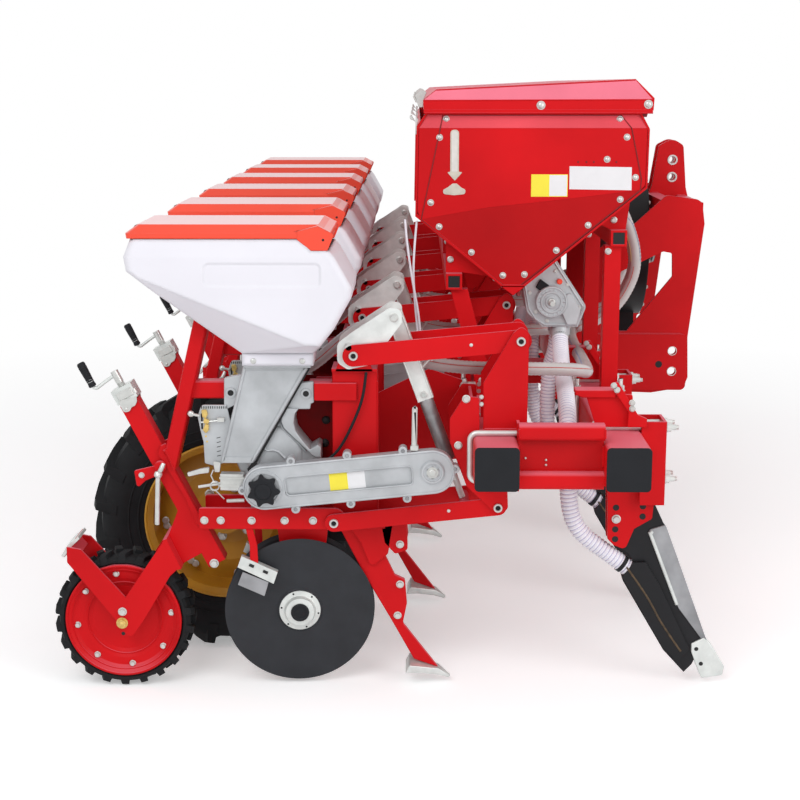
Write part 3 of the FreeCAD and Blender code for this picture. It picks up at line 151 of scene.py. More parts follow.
# finishes: shade is how far the colour varies in patches; grain and edge default to none
# frame red: faces turned up blend to pale pink, partly real dust and partly a painted sheen of the sky
red = dict(colour=(0.645, 0.0068, 0.0105), shade=0.14, patch=3.0, rough=(0.36, 0.46), grain=0.04, edge=0.002,
           shine=0.13, dustAndSheen=(0.8, 0.19, 0.25), dustAndSheenFrom=0.35, dustAndSheenShare=0.85)
zinc = dict(colour=(0.7, 0.73, 0.71), shade=0.12, patch=30.0, rough=(0.26, 0.42), grain=0.05, grainSize=500.0,
            metal=0.4, edge=0.001)
seam = dict(colour=(0.22, 0.006, 0.008), shade=0.15, patch=20.0, rough=(0.45, 0.6), grain=0.05)
thread = dict(shade=0.1, patch=20.0, rough=(0.3, 0.4))
label = dict(shade=0.03, patch=20.0, rough=(0.3, 0.35))
paintBox = {
    "frameRed": red,
    # frame red painted paler: a painted highlight for the band along the top of the tank's end sheets
    "litRed": dict(red, colour=(0.8, 0.085, 0.11)),
    # frame red painted paler: a painted highlight on the lid's end gables
    "paleLitRed": dict(red, colour=(0.88, 0.21, 0.29)),
    # darker copy of the frame red: painted shade for the down-facing lower part of the tank's end sheets and
    # the recessed webs of the end frames
    "shadedRed": dict(red, colour=(0.5, 0.0055, 0.008)),
    # lid plastic: the flat tops blend to pale pink, a painted sheen of the sky
    "lidPlastic": dict(colour=(0.93, 0.085, 0.045), shine=0.35, shade=0.06, patch=4.0, rough=(0.3, 0.38),
                       grain=0.03, grainSize=700.0, edge=0.003, dustAndSheen=(0.98, 0.68, 0.7), dustAndSheenFrom=0.82,
                       dustAndSheenShare=0.95),
    "hopperPlastic": dict(colour=(0.83, 0.82, 0.88), shine=0.3, shade=0.03, patch=5.0, rough=(0.38, 0.48),
                          grain=0.04, grainSize=600.0, edge=0.014,
                          panel=(-0.412, 1.2115, 0.155, 0.0305, 0.014)),
    "castAluminium": dict(colour=(0.5, 0.52, 0.54), shade=0.16, patch=14.0, rough=(0.42, 0.58), grain=0.22,
                          grainSize=1100.0, metal=0.55, edge=0.002),
    "zincPlate": zinc,
    # zinc painted lighter with less metal: painted light for the pressure links, which sit in the shade of the
    # hoppers and tank
    "litLinkZinc": dict(zinc, colour=(0.78, 0.81, 0.79), metal=0.15),
    "boltZinc": dict(colour=(0.62, 0.63, 0.61), shade=0.1, patch=60.0, rough=(0.25, 0.38), grain=0.04,
                     metal=0.5),
    "bluntSteel": dict(colour=(0.36, 0.36, 0.37), shade=0.35, patch=25.0, rough=(0.35, 0.6), grain=0.12,
                       grainSize=700.0, metal=0.8, edge=0.001),
    "wornSteel": dict(colour=(0.33, 0.335, 0.35), shade=0.4, patch=9.0, rough=(0.3, 0.5), grain=0.1,
                      grainSize=600.0, metal=0.65, edge=0.001),
    "passivated": dict(colour=(0.7, 0.5, 0.16), shade=0.2, patch=90.0, rough=(0.28, 0.42), grain=0.06,
                       metal=0.4),
    "palePlate": dict(colour=(0.62, 0.58, 0.5), shade=0.12, patch=40.0, rough=(0.3, 0.45), grain=0.08,
                      grainSize=700.0, metal=0.2),
    "discCoat": dict(colour=(0.022, 0.024, 0.029), shine=0.3, shade=0.2, patch=16.0, rough=(0.42, 0.55),
                     grain=0.35, grainSize=1300.0, edge=0.001),
    "blackCoat": dict(colour=(0.01, 0.01, 0.012), shine=0.25, shade=0.2, patch=12.0, rough=(0.36, 0.5),
                      grain=0.1, edge=0.002),
    "capPlastic": dict(colour=(0.013, 0.014, 0.017), shine=0.2, shade=0.12, patch=12.0, rough=(0.5, 0.6),
                       grain=0.15, grainSize=1200.0, edge=0.002),
    "tyreRubber": dict(colour=(0.012, 0.0125, 0.014), shine=0.2, shade=0.3, patch=22.0, rough=(0.65, 0.8),
                       grain=0.3, grainSize=800.0, edge=0.002),
    "rimYellow": dict(colour=(0.6, 0.3, 0.025), shade=0.16, patch=8.0, rough=(0.34, 0.46), grain=0.06,
                      edge=0.002),
    "hoseWhite": dict(colour=(0.9, 0.89, 0.97), shade=0.08, patch=12.0, rough=(0.35, 0.45), grain=0.05),
    # darker lavender for the hose's grooves: painted shade in the corrugations
    "hoseGrooveShade": dict(colour=(0.56, 0.54, 0.7), shade=0.1, patch=12.0, rough=(0.45, 0.55)),
    "hoseClear": dict(colour=(0.6, 0.575, 0.57), shade=0.1, patch=12.0, rough=(0.18, 0.28), grain=0.03),
    "stripeRed": dict(thread, colour=(0.6, 0.1, 0.08)),
    "stripeBlue": dict(thread, colour=(0.1, 0.16, 0.4)),
    "stripeYellow": dict(thread, colour=(0.7, 0.55, 0.2)),
    "labelYellow": dict(label, colour=(0.93, 0.8, 0.06)),
    "labelWhite": dict(label, colour=(0.82, 0.82, 0.84)),
    "windowGlass": dict(colour=(0.74, 0.72, 0.68), shade=0.1, patch=30.0, rough=(0.06, 0.14)),
    "deepShade": dict(colour=(0.01, 0.01, 0.011), shade=0.2, patch=20.0, rough=(0.6, 0.75), grain=0.05),
    "seamShade": seam,
    # dark red: painted shade for the inner plate behind each seed meter
    "shadedBackRed": dict(seam, colour=(0.19, 0.0025, 0.0035), shine=0.1),
    "soilBead": dict(colour=(0.1, 0.065, 0.035), shade=0.5, patch=60.0, rough=(0.6, 0.8), grain=0.3,
                     grainSize=500.0),
}


# painted sky sheen on what faces up, mixed with real pale dust on the frame red: the colour blends to the sheen
# colour as the normal turns up
def addDustAndSheen(tree, colour, look):
    shape = addNode(tree, "NewGeometry", {})
    parts = addNode(tree, "SeparateXYZ", {0: shape.outputs["Normal"]})
    share = addNode(tree, "MapRange", {"From Min": look["dustAndSheenFrom"], "To Max": look["dustAndSheenShare"],
                                       "Value": parts.outputs["Z"]})
    mix = addNode(tree, "Mix", {}, data_type="RGBA")
    feed(mix, {0: share.outputs["Result"], 6: colour, 7: (*look["dustAndSheen"], 1.0)})
    return mix.outputs[2]


# height of a shallow rounded panel pressed into the sides: middle x and z, half sizes, corner
def addPanel(tree, place, panel):
    middleX, middleZ, halfX, halfZ, corner = panel
    parts, gather = addNode(tree, "SeparateXYZ", {0: place}), addNode(tree, "CombineXYZ", {})
    for axis, middle, half in (("X", middleX, halfX), ("Z", middleZ, halfZ)):
        flow = parts.outputs[axis]
        for operation, value in (("SUBTRACT", middle), ("ABSOLUTE", 0.0), ("SUBTRACT", half - corner),
                                 ("MAXIMUM", 0.0)):
            flow = addNode(tree, "Math", {0: flow, 1: value}, operation=operation).outputs[0]
        feed(gather, {axis: flow})
    away = addNode(tree, "VectorMath", {0: gather.outputs[0]}, operation="LENGTH").outputs["Value"]
    edge = addNode(tree, "MapRange", {"From Min": corner - 0.005, "From Max": corner + 0.005, "Value": away},
                   interpolation_type="SMOOTHSTEP")
    return edge.outputs["Result"]


def mixFinish(name, look):
    material = bpy.data.materials.new(name)
    material.use_nodes = True
    tree = material.node_tree
    shader = tree.nodes["Principled BSDF"]
    place = addNode(tree, "TexCoord", {}).outputs["Object"]
    patches = addNode(tree, "TexNoise", {"Scale": look["patch"], "Detail": 4.0, "Vector": place}).outputs["Fac"]
    tint = addNode(tree, "ValToRGB", {"Fac": patches})
    low, high = tint.color_ramp.elements
    low.position, high.position = 0.3, 0.7
    low.color = (*[c * (1.0 - look["shade"]) for c in look["colour"]], 1.0)
    high.color = (*[min(1.0, c * (1.0 + look["shade"] * 0.6)) for c in look["colour"]], 1.0)
    colour = tint.outputs["Color"]
    # painted sky sheen on faces turned up, with real dust on the frame red
    if "dustAndSheen" in look:
        colour = addDustAndSheen(tree, colour, look)
    dull = addNode(tree, "MapRange", {"To Min": look["rough"][0], "To Max": look["rough"][1], "Value": patches})
    feed(shader, {"Metallic": look.get("metal", 0.0), "Specular IOR Level": look.get("shine", 0.4),
                  "Base Color": colour, "Roughness": dull.outputs["Result"]})
    normal = {}
    if "edge" in look:
        soft = addNode(tree, "Bevel", {"Radius": look["edge"]}, samples=3)
        normal = {"Normal": soft.outputs["Normal"]}
    if "grain" in look:
        grainSize = look.get("grainSize", 900.0)
        grain = addNode(tree, "TexNoise", {"Scale": grainSize, "Detail": 2.0, "Vector": place}).outputs["Fac"]
        bump = addNode(tree, "Bump", {"Strength": look["grain"], "Distance": 0.0006, "Height": grain, **normal})
        normal = {"Normal": bump.outputs["Normal"]}
    if "panel" in look:
        press = addNode(tree, "Bump", {"Strength": 1.0, "Distance": 0.003,
                                       "Height": addPanel(tree, place, look["panel"]), **normal})
        normal = {"Normal": press.outputs["Normal"]}
    feed(shader, normal)
    return material


finishes = {name: mixFinish(name, look) for name, look in paintBox.items()}
print("finishes", len(finishes))

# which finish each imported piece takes, by the start of its name; the rest is frame red
nodeFinish = {
    "beam_caps": "capPlastic", "pressure_links": "litLinkZinc", "depth_cranks": "zincPlate",
    "u_bolts": "zincPlate", "disc_scrapers": "zincPlate", "seed_hoppers": "hopperPlastic",
    "seed_meters": "castAluminium", "chain_cases": "castAluminium", "soil_points": "bluntSteel",
    "fertilizer_openers": "blackCoat", "fertilizer_meters": "castAluminium", "fertilizer_hoses": "hoseWhite",
    "vacuum_fan": "blackCoat", "air_hoses": "hoseClear", "opener_disc": "discCoat", "press_tyre": "tyreRubber",
    "ground_tyre": "tyreRubber", "ground_rim": "rimYellow", "seed_lid": "lidPlastic",
}
for name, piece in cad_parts.items():
    material = finishes[next((nodeFinish[start] for start in nodeFinish if name.startswith(start)), "frameRed")]
    if not piece.data.materials:
        piece.data.materials.append(material)
        continue
    for slot in piece.material_slots:
        slot.link = "OBJECT"
        slot.material = material
print("packed pieces painted")


# shapes: each one is a list of points and a list of faces
def joined(parts):
    points, faces = [], []
    for partPoints, partFaces in parts:
        base = len(points)
        points += partPoints
        faces += [tuple(base + corner for corner in face) for face in partFaces]
    return points, faces


# closed outline; a corner (a, b, r) is rounded by r
def roundedOutline(corners, arcSteps=5):
    outline = []
    for index, corner in enumerate(corners):
        here = Vector(corner[:2])
        if len(corner) < 3:
            outline.append(tuple(here))
            continue
        before = (Vector(corners[index - 1][:2]) - here).normalized()
        after = (Vector(corners[(index + 1) % len(corners)][:2]) - here).normalized()
        half = before.angle(after) / 2.0
        centre = here + (before + after).normalized() * (corner[2] / math.sin(half))
        start = here + before * (corner[2] / math.tan(half)) - centre
        turn = math.copysign(math.pi - 2.0 * half, before.y * after.x - before.x * after.y)
        for step in range(arcSteps + 1):
            c, s = circle(turn * step / arcSteps)
            outline.append((centre.x + start.x * c - start.y * s, centre.y + start.x * s + start.y * c))
    return outline


def circle(angle, radius=1.0):
    return radius * math.cos(angle), radius * math.sin(angle)


def box(x0, x1, z0, z1, *corner):
    return [(x0, z0, *corner), (x1, z0, *corner), (x1, z1, *corner), (x0, z1, *corner)]


# flat piece: an outline in X and Z, between two places across the machine, its edges eased a little
def slab(outline, near, far, ease=0.0):
    low, high = sorted((near, far))
    ring = roundedOutline(outline)
    if sum(a[0] * b[1] - b[0] * a[1] for a, b in zip(ring, ring[1:] + ring[:1])) < 0.0:
        ring.reverse()
    count = len(ring)
    inner = []
    for index, corner in enumerate(ring):
        before, here, after = Vector(ring[index - 1]), Vector(corner), Vector(ring[(index + 1) % count])
        normal = Vector((0.0, 0.0))
        for edge in (here - before, after - here):
            if edge.length > 1e-9:
                normal += Vector((-edge.y, edge.x)).normalized()
        if normal.length > 1e-9:
            normal.normalize()
        inner.append(tuple(here + normal * ease))
    levels = [(low, ring), (high, ring)]
    if ease > 0.0:
        levels = [(low, inner), (low + ease, ring), (high - ease, ring), (high, inner)]
    points = [(x, y, z) for y, level in levels for x, z in level]
    faces = [tuple(range(count)), tuple(reversed(range((len(levels) - 1) * count, len(levels) * count)))]
    for start in range(0, (len(levels) - 1) * count, count):
        for index in range(count):
            following = (index + 1) % count
            faces.append((start + index, start + count + index, start + count + following, start + following))
    return points, faces


def basisFor(axis):
    axis = Vector(axis).normalized()
    side = axis.orthogonal().normalized()
    if abs(axis.y) > 0.9:
        side = (Vector((0.0, 0.0, 1.0)) - axis * axis.z).normalized()
    return axis, side, axis.cross(side).normalized()


# open turned piece: profile points are (along the axis, radius)
def spun(centre, axis, profile, turns=20, phase=0.0):
    axis, side, up = basisFor(axis)
    points, rings, faces = [], [], []
    for along, radius in profile:
        middle = Vector(centre) + axis * along
        if radius < 1e-6:
            rings.append([len(points)] * turns)
            points.append(tuple(middle))
            continue
        rings.append(range(len(points), len(points) + turns))
        for step in range(turns):
            c, s = circle(phase + 2.0 * math.pi * step / turns, radius)
            points.append(tuple(middle + side * c + up * s))
    for first, second in zip(rings, rings[1:]):
        for step in range(turns):
            following = (step + 1) % turns
            face = [first[step], first[following], second[following], second[step]]
            if len(set(face)) > 2:
                faces.append(tuple(dict.fromkeys(face)))
    return points, faces


# turned piece closed at both ends
def turned(centre, axis, rim, turns=20, phase=0.0):
    return spun(centre, axis, [(rim[0][0], 0.0), *rim, (rim[-1][0], 0.0)], turns, phase)


# hexagon head on a washer; size is half across the corners
def hexBolt(centre, axis, size=0.01, height=0.009, washer=1.2):
    disc = size * washer
    head = [(0.0018, size), (height * 0.82, size), (height, size * 0.84)]
    return joined([turned(centre, axis, [(0.0, disc), (0.0016, disc), (0.002, disc * 0.94)], 18),
                   turned(centre, axis, head, 6, 0.3)])


# cup-headed bolt
def domeBolt(centre, axis, radius=0.011, height=0.006):
    rim = [(height * math.sin(a), radius * math.cos(a)) for a in (0.0, 0.35, 0.75, 1.15)]
    return spun(centre, axis, [(0.0, 0.0), *rim, (height, 0.0)], 14)


# round bar along a line of points; radius is one number or one for each point
def swept(line, radius, sides=10, closedEnds=True):
    line = [Vector(p) for p in line]
    radii = radius if isinstance(radius, list) else [radius] * len(line)
    points, faces, side = [], [], None
    for index, here in enumerate(line):
        way = (line[min(index + 1, len(line) - 1)] - line[max(index - 1, 0)]).normalized()
        side = (way.orthogonal() if side is None else side - way * side.dot(way)).normalized()
        up = way.cross(side)
        for step in range(sides):
            c, s = circle(2.0 * math.pi * step / sides)
            points.append(tuple(here + (side * c + up * s) * radii[index]))
    for start in range(0, len(points) - sides, sides):
        for step in range(sides):
            following = (step + 1) % sides
            faces.append((start + step, start + following, start + sides + following, start + sides + step))
    if closedEnds:
        faces += [tuple(reversed(range(sides))), tuple(range(len(points) - sides, len(points)))]
    return points, faces


# ring about the Y axis whose profile closes on itself; profile points are (y, radius)
def closedSpin(profile, centre, turns):
    points, faces = [], []
    count = len(profile)
    for step in range(turns):
        points += [onWheel(centre, 2.0 * math.pi * step / turns, radius, y) for y, radius in profile]
        here, there = step * count, (step + 1) % turns * count
        for index in range(count):
            following = (index + 1) % count
            faces.append((here + index, here + following, there + following, there + index))
    return points, faces


def onWheel(centre, angle, radius, y=0.0):
    c, s = circle(angle, radius)
    return centre[0] + c, centre[1] + y, centre[2] + s


# points along the smooth spline that a route's points control
def softLine(route, spacing):
    curve = bpy.data.curves.new("line", "CURVE")
    curve.dimensions = "3D"
    spline = curve.splines.new("NURBS")
    spline.points.add(len(route) - 1)
    for point, place in zip(spline.points, route):
        point.co = (*place, 1.0)
    spline.order_u = 3
    spline.use_endpoint_u = True
    length = sum((Vector(b) - Vector(a)).length for a, b in zip(route, route[1:]))
    curve.resolution_u = max(4, int(length / spacing / (len(route) - 1)) + 1)
    holder = bpy.data.objects.new("line", curve)
    mesh = bpy.data.meshes.new_from_object(holder)
    line = [vertex.co.copy() for vertex in mesh.vertices]
    bpy.data.objects.remove(holder)
    bpy.data.curves.remove(curve)
    bpy.data.meshes.remove(mesh)
    return line


# the same line with its points an even distance apart
def evenLine(line, spacing):
    spots, run = [line[0]], 0.0
    for a, b in zip(line, line[1:]):
        piece = (b - a).length
        while run + piece >= spacing:
            a = a.lerp(b, (spacing - run) / piece)
            piece = (b - a).length
            spots.append(a)
            run = 0.0
        run += piece
    return spots + [line[-1]]


# straight bar whose radius goes to and fro, as a thread does
def ridged(start, end, steps, wide, narrow, sides, smoothFrom=2.0):
    line = [Vector(start).lerp(Vector(end), k / steps) for k in range(steps + 1)]
    return swept(line, [wide if k % 2 or k / steps > smoothFrom else narrow for k in range(steps + 1)], sides)


# weld bead between two points
def beadAlong(start, end, radius=0.003, ripple=0.0045):
    steps = max(2, int((Vector(end) - Vector(start)).length / ripple * 2))
    return ridged(start, end, steps, radius, radius * 0.82, 7)


# one Blender object from a shape or a list of them, painted and riding on its body; marks picks the faces
# of a second finish
def makePiece(name, parts, finish, body=hull, smooth=35.0, marks=None, second=None):
    mesh = bpy.data.meshes.new(name)
    points, faces = joined(parts) if isinstance(parts, list) else parts
    mesh.from_pydata(points, [], faces)
    shape = bmesh.new()
    shape.from_mesh(mesh)
    bmesh.ops.recalc_face_normals(shape, faces=shape.faces)
    shape.to_mesh(mesh)
    shape.free()
    mesh.shade_smooth()
    mesh.set_sharp_from_angle(angle=math.radians(smooth))
    mesh.materials.append(finishes[finish])
    if marks:
        mesh.materials.append(finishes[second])
        mesh.polygons.foreach_set("material_index", marks)
    piece = bpy.data.objects.new(name, mesh)
    scene.collection.objects.link(piece)
    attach(piece, body)
    return piece


# the same parts on all six rows
def rowPiece(name, parts, finish):
    points, faces = joined(parts)
    rows = [([(x, y + place, z) for x, y, z in points], faces) for place in rowPlaces]
    return makePiece(name, rows, finish)


# the same small part on the right and left faces, half away from the middle plane
def paired(maker, x, z, half, *sizes):
    return joined([maker((x, way * half, z), (0, way, 0), *sizes) for way in sides])


# upright plates on both sides, half away from the middle plane, thin from their middle to a face
def platePair(outline, half, thin, ease):
    return joined([slab(outline, way * half - thin, way * half + thin, ease) for way in sides])


def boltsAt(spots, half, size=0.01, height=0.009):
    return joined([paired(hexBolt, x, z, half, size, height) for x, z in spots])


# bolts in a ring round an axle, the first one turned a little
def boltRing(centre, count, turn, radius, way, size, height):
    return [hexBolt(onWheel(centre, turn + 2.0 * math.pi * k / count, radius), (0, way, 0), size, height)
            for k in range(count)]


# pivots: plated bush ends with a dark bore
pivotSetup = {"ring": 0.0128, "bore": 0.0068, "proud": 0.0065,
              "places": [(-0.174, 0.977, 0.074), (0.286, 1.02, 0.084), (-0.231, 0.503, 0.087),
                         (0.228, 0.552, 0.097)]}


def addPivots():
    ring, bore, proud, places = pivotSetup.values()
    bush = [(-0.002, ring), (proud * 0.7, ring), (proud, ring * 0.93), (proud, bore * 1.2), (proud * 0.7, bore),
            (0.001, bore)]
    dark = [(-0.003, 0.0082), (0.0018, 0.0082), (0.0018, 0.004), (0.0005, 0.003)]
    rowPiece("pivot_bushes", [paired(spun, *place, bush, 26) for place in places], "boltZinc")
    rowPiece("pivot_bores", [paired(turned, *place, dark, 20) for place in places], "deepShade")


# bolts through the side bars, the tower's clamp and the tine: places, half width, size and height
rowBoltSetup = {
    "bars": ([(-0.596, 0.507), (-0.55, 0.507), (-0.463, 0.507), (-0.37, 0.507),
              (-0.29, 0.507)], 0.075, 0.0095),
    "clamp": ([(0.116, 0.731), (0.137, 0.862)], 0.097, 0.0095),
    "tower": ([(0.179, 0.866), (0.179, 0.846)], 0.09, 0.0052, 0.004),
    "tine": ([(-0.046, 0.421)], 0.018, 0.0095),
    "shank": ([(-0.046, 0.298), (-0.053, 0.204)], 0.008, 0.0095),
    "scraper": ([(-0.578, 0.365)], 0.0265, 0.011),
}


def addRowBolts():
    parts = [boltsAt(*bolts) for bolts in rowBoltSetup.values()]
    parts += [paired(domeBolt, *place, 0.0052, 0.003) for place in ((0.15, 1.008, 0.074), (0.091, 0.54, 0.087))]
    rowPiece("row_bolts", parts, "boltZinc")


# row frame: side bars, post, ears, rails, hopper column down to the depth tube, disc carrier
frameSetup = {
    "middle": {  # outline, half width, eased edge
        "frontRail": (box(-0.3, -0.235, 0.846, 0.896), 0.025, 0.005),
        "rearRail": (box(-0.655, -0.512, 0.846, 0.896), 0.025, 0.005),
        "column": ([(-0.7045, 0.7065), (-0.7126, 0.7), (-0.68, 0.64), (-0.58, 1.047),
                    (-0.612, 1.088)], 0.045, 0.005),
        "shelf": ([(-0.668, 1.1332), (-0.492, 0.994), (-0.4952, 0.9901), (-0.6712, 1.1293)], 0.07, 0.0008),
        "carrier": ([(-0.4, 0.489), (-0.25, 0.489), (-0.262, 0.38), (-0.312, 0.24, 0.02), (-0.32, 0.2, 0.015),
                     (-0.356, 0.206, 0.015), (-0.372, 0.26, 0.02)], 0.006, 0.001),
        "frontFloor": (box(-0.262, -0.088, 0.481, 0.489), 0.065, 0.001),
        "middleFloor": (box(-0.4, -0.262, 0.481, 0.489), 0.065, 0.001),
        "rearFloor": (box(-0.592, -0.545, 0.481, 0.489), 0.065, 0.001),
        "post": (box(-0.235, -0.109, 0.489, 0.93), 0.04, 0.003),
        "postHead": (box(-0.235, -0.109, 0.93, 0.938), 0.058, 0.001),
    },
    "pairs": {  # outline, half way out, half thickness, eased edge
        "bar": ([(-0.612, 0.481, 0.008), (-0.2, 0.481, 0.03), (-0.2, 0.543, 0.03),
                 (-0.612, 0.543, 0.008)], 0.07, 0.005, 0.0015),
        "ear": ([(-0.225, 0.929), (-0.12, 0.929), (-0.146, 1.005, 0.026),
                 (-0.202, 1.005, 0.026)], 0.054, 0.004, 0.001),
        "guide": ([(-0.72, 0.712, 0.006), (-0.705, 0.72, 0.004), (-0.682, 0.642), (-0.632, 0.543),
                   (-0.6, 0.481), (-0.626, 0.481), (-0.655, 0.56),
                   (-0.728, 0.69, 0.01)], 0.0305, 0.004, 0.001),
    },
}


# opener discs: where their hubs sit and how they lean
discSetup = {"x": -0.334, "z": 0.227, "half": 0.025, "tilt": math.radians(5.0), "pinch": math.radians(30.0)}


def discHub(place, side):
    x, z, half, tilt, pinch = discSetup.values()
    way = (math.cos(pinch) * math.sin(tilt), side * math.cos(tilt), -math.sin(pinch) * math.sin(tilt))
    return Vector((x, place + side * half, z)), Vector(way)


def addRowFrames():
    parts = [platePair(*plate) for plate in frameSetup["pairs"].values()]
    parts += [slab(outline, -half, half, ease) for outline, half, ease in frameSetup["middle"].values()]
    for hub, way in (discHub(0.0, side) for side in sides):
        parts.append(swept([hub - way * 0.021, hub + way * 0.02], 0.01, 20))
    frames = rowPiece("row_frame_bodies", parts, "frameRed")
    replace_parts(frames, "row_frames")
    beads = [beadAlong((-0.7045, y, 0.7065), (-0.68, y, 0.642), 0.0028) for y in (-0.045, 0.045)]
    beads += [beadAlong((-0.109, y, 0.495), (-0.109, y, 0.9), 0.0022) for y in (-0.0395, 0.0395)]
    rowPiece("row_frame_beads", beads, "frameRed")
    print("row frames")


# shin and point of each opener, tine with its wedge foot
soilSetup = {
    "shin": [(0.663, 0.461, 0.003), (0.668, 0.468, 0.003), (0.703, 0.479, 0.003), (0.713, 0.474),
             (0.747, 0.384), (0.841, 0.133), (0.832, 0.141), (0.829, 0.133), (0.757, 0.229), (0.749, 0.244)],
    "point": [(0.796, 0.124, 0.004), (0.832, 0.143, 0.004), (0.858, 0.116), (0.897, 0.05, 0.01),
              (0.892, 0.024, 0.008), (0.828, 0.02, 0.006), (0.797, 0.1, 0.004)],
    "tine": [(-0.226, 0.481), (-0.11, 0.481), (-0.096, 0.4), (-0.061, 0.326), (-0.032, 0.312, 0.008),
             (-0.026, 0.24, 0.01), (-0.038, 0.18, 0.01), (0.064, 0.046), (-0.006, 0.071), (-0.075, 0.197),
             (-0.147, 0.323)],
    "collar": [(-0.196, 0.481), (-0.066, 0.481), (-0.08, 0.392, 0.012), (-0.13, 0.35, 0.012), (-0.158, 0.424)],
    "stay": [(-0.1, 0.481), (-0.026, 0.481), (-0.024, 0.404, 0.01), (-0.06, 0.392, 0.008), (-0.09, 0.425)],
    "foot": [(-0.031, 0.043, 0.002), (-0.018, 0.067, 0.003), (0.066, 0.046), (0.101, 0.018, 0.002),
             (0.094, 0.014), (0.06, 0.028), (0.006, 0.042)],
}


# narrower towards the front, from a spot on
def pinched(part, start, end, keep):
    def narrowed(x, y, z):
        share = min(1.0, max(0.0, (x - start) / (end - start)))
        return x, y * (1.0 - (1.0 - keep) * share), z
    return [narrowed(*p) for p in part[0]], part[1]


def addSoilParts():
    setup = soilSetup
    point = pinched(slab(setup["point"], -0.0205, 0.0205, 0.0015), 0.84, 0.897, 0.35)
    foot = pinched(slab(setup["foot"], -0.052, 0.052, 0.0012), -0.01, 0.1, 0.12)
    tips = rowPiece("soil_tips", [point, foot], "zincPlate")
    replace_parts(tips, "soil_points")
    rowPiece("opener_shins", [slab(setup["shin"], -0.0185, 0.0185, 0.0015)], "wornSteel")
    tines = rowPiece("tine_shanks", [slab(setup["tine"], -0.008, 0.008, 0.0015),
                                     slab(setup["collar"], -0.018, 0.018, 0.0015),
                                     slab(setup["stay"], -0.018, 0.018, 0.001)], "frameRed")
    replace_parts(tines, "tines")
    print("ground tools")


# plated lever and sprung strut above each row: top pivot and the strut's direction
strutSetup = {"top": (-0.062, 1.082), "way": (0.3457, -0.9383)}


def alongStrut(distance, off=0.0):
    (x, z), (a, b) = strutSetup["top"], strutSetup["way"]
    return x + a * distance - b * off, z + b * distance + a * off


def addStruts():
    parts = [paired(hexBolt, *place, 0.064, 0.011, 0.01) for place in ((-0.062, 1.082), (-0.187, 1.0))]
    # pressed lines along the channel's side and its two pins
    for off in (-0.0205, 0.0205):
        (x0, z0), (x1, z1) = alongStrut(0.012, off), alongStrut(0.25, off)
        parts += [swept([(x0, y, z0), (x1, y, z1)], 0.0022, 8) for y in (-0.0202, 0.0202)]
    ring = [(0.0, 0.01), (0.004, 0.01), (0.0048, 0.009), (0.0048, 0.005), (0.001, 0.005)]
    parts.append(paired(spun, *alongStrut(0.238), 0.02, ring, 18))
    (x, z), (tipX, tipZ) = alongStrut(0.165, 0.023), alongStrut(0.15, 0.052)
    parts += [swept([(x, -0.012, z), (tipX, -0.012, tipZ)], 0.0045, 10),
              turned((tipX, -0.012, tipZ), (0.9, 0.0, 0.3), [(0.0, 0.0085), (0.006, 0.0085)], 8)]
    rowPiece("strut_fittings", parts, "boltZinc")
    # steel sleeve of the strut, turned rings at its upper end
    (x0, z0), (x1, z1) = alongStrut(0.252), alongStrut(0.44)
    rowPiece("strut_sleeves", [ridged((x0, 0.0, z0), (x1, 0.0, z1), 45, 0.0208, 0.0196, 26, 0.3)], "bluntSteel")
    print("struts")


# depth column: scalloped cap, screw thread, crank grip, red lug and lock rod
columnSetup = {
    "tab": [(-0.8335, 0.835, 0.006), (-0.82, 0.806, 0.01), (-0.803, 0.811, 0.01), (-0.798, 0.822, 0.008),
            (-0.787, 0.828, 0.008), (-0.782, 0.84, 0.006), (-0.783, 0.854, 0.004), (-0.832, 0.842, 0.004)],
    "crown": [(-0.842, 0.86, 0.004), (-0.832, 0.838, 0.003), (-0.79, 0.859, 0.003), (-0.801, 0.881, 0.004)],
    "stub": [(0.0, 0.0085), (0.012, 0.0085), (0.014, 0.007)],
    "screw": [(-0.826, 0.0, 0.872), (-0.85, 0.0, 0.92)],
    "lockRod": [(-0.712, -0.04, 0.662), (-0.717, -0.046, 0.65), (-0.727, -0.049, 0.632),
                (-0.7285, -0.049, 0.6), (-0.734, -0.049, 0.487)],
    "ball": [(-0.011, 0.0), (-0.01, 0.006), (-0.006, 0.01), (0.0, 0.0122), (0.006, 0.01), (0.01, 0.006),
             (0.011, 0.0)],
    "lug": [(-0.797, 0.64, 0.006), (-0.79, 0.588, 0.006), (-0.765, 0.611, 0.004), (-0.738, 0.622, 0.008),
            (-0.727, 0.664, 0.01), (-0.748, 0.652, 0.006)],
    "grip": ((-0.9105, 0.875), (-0.9445, 0.943), 0.0122),
}


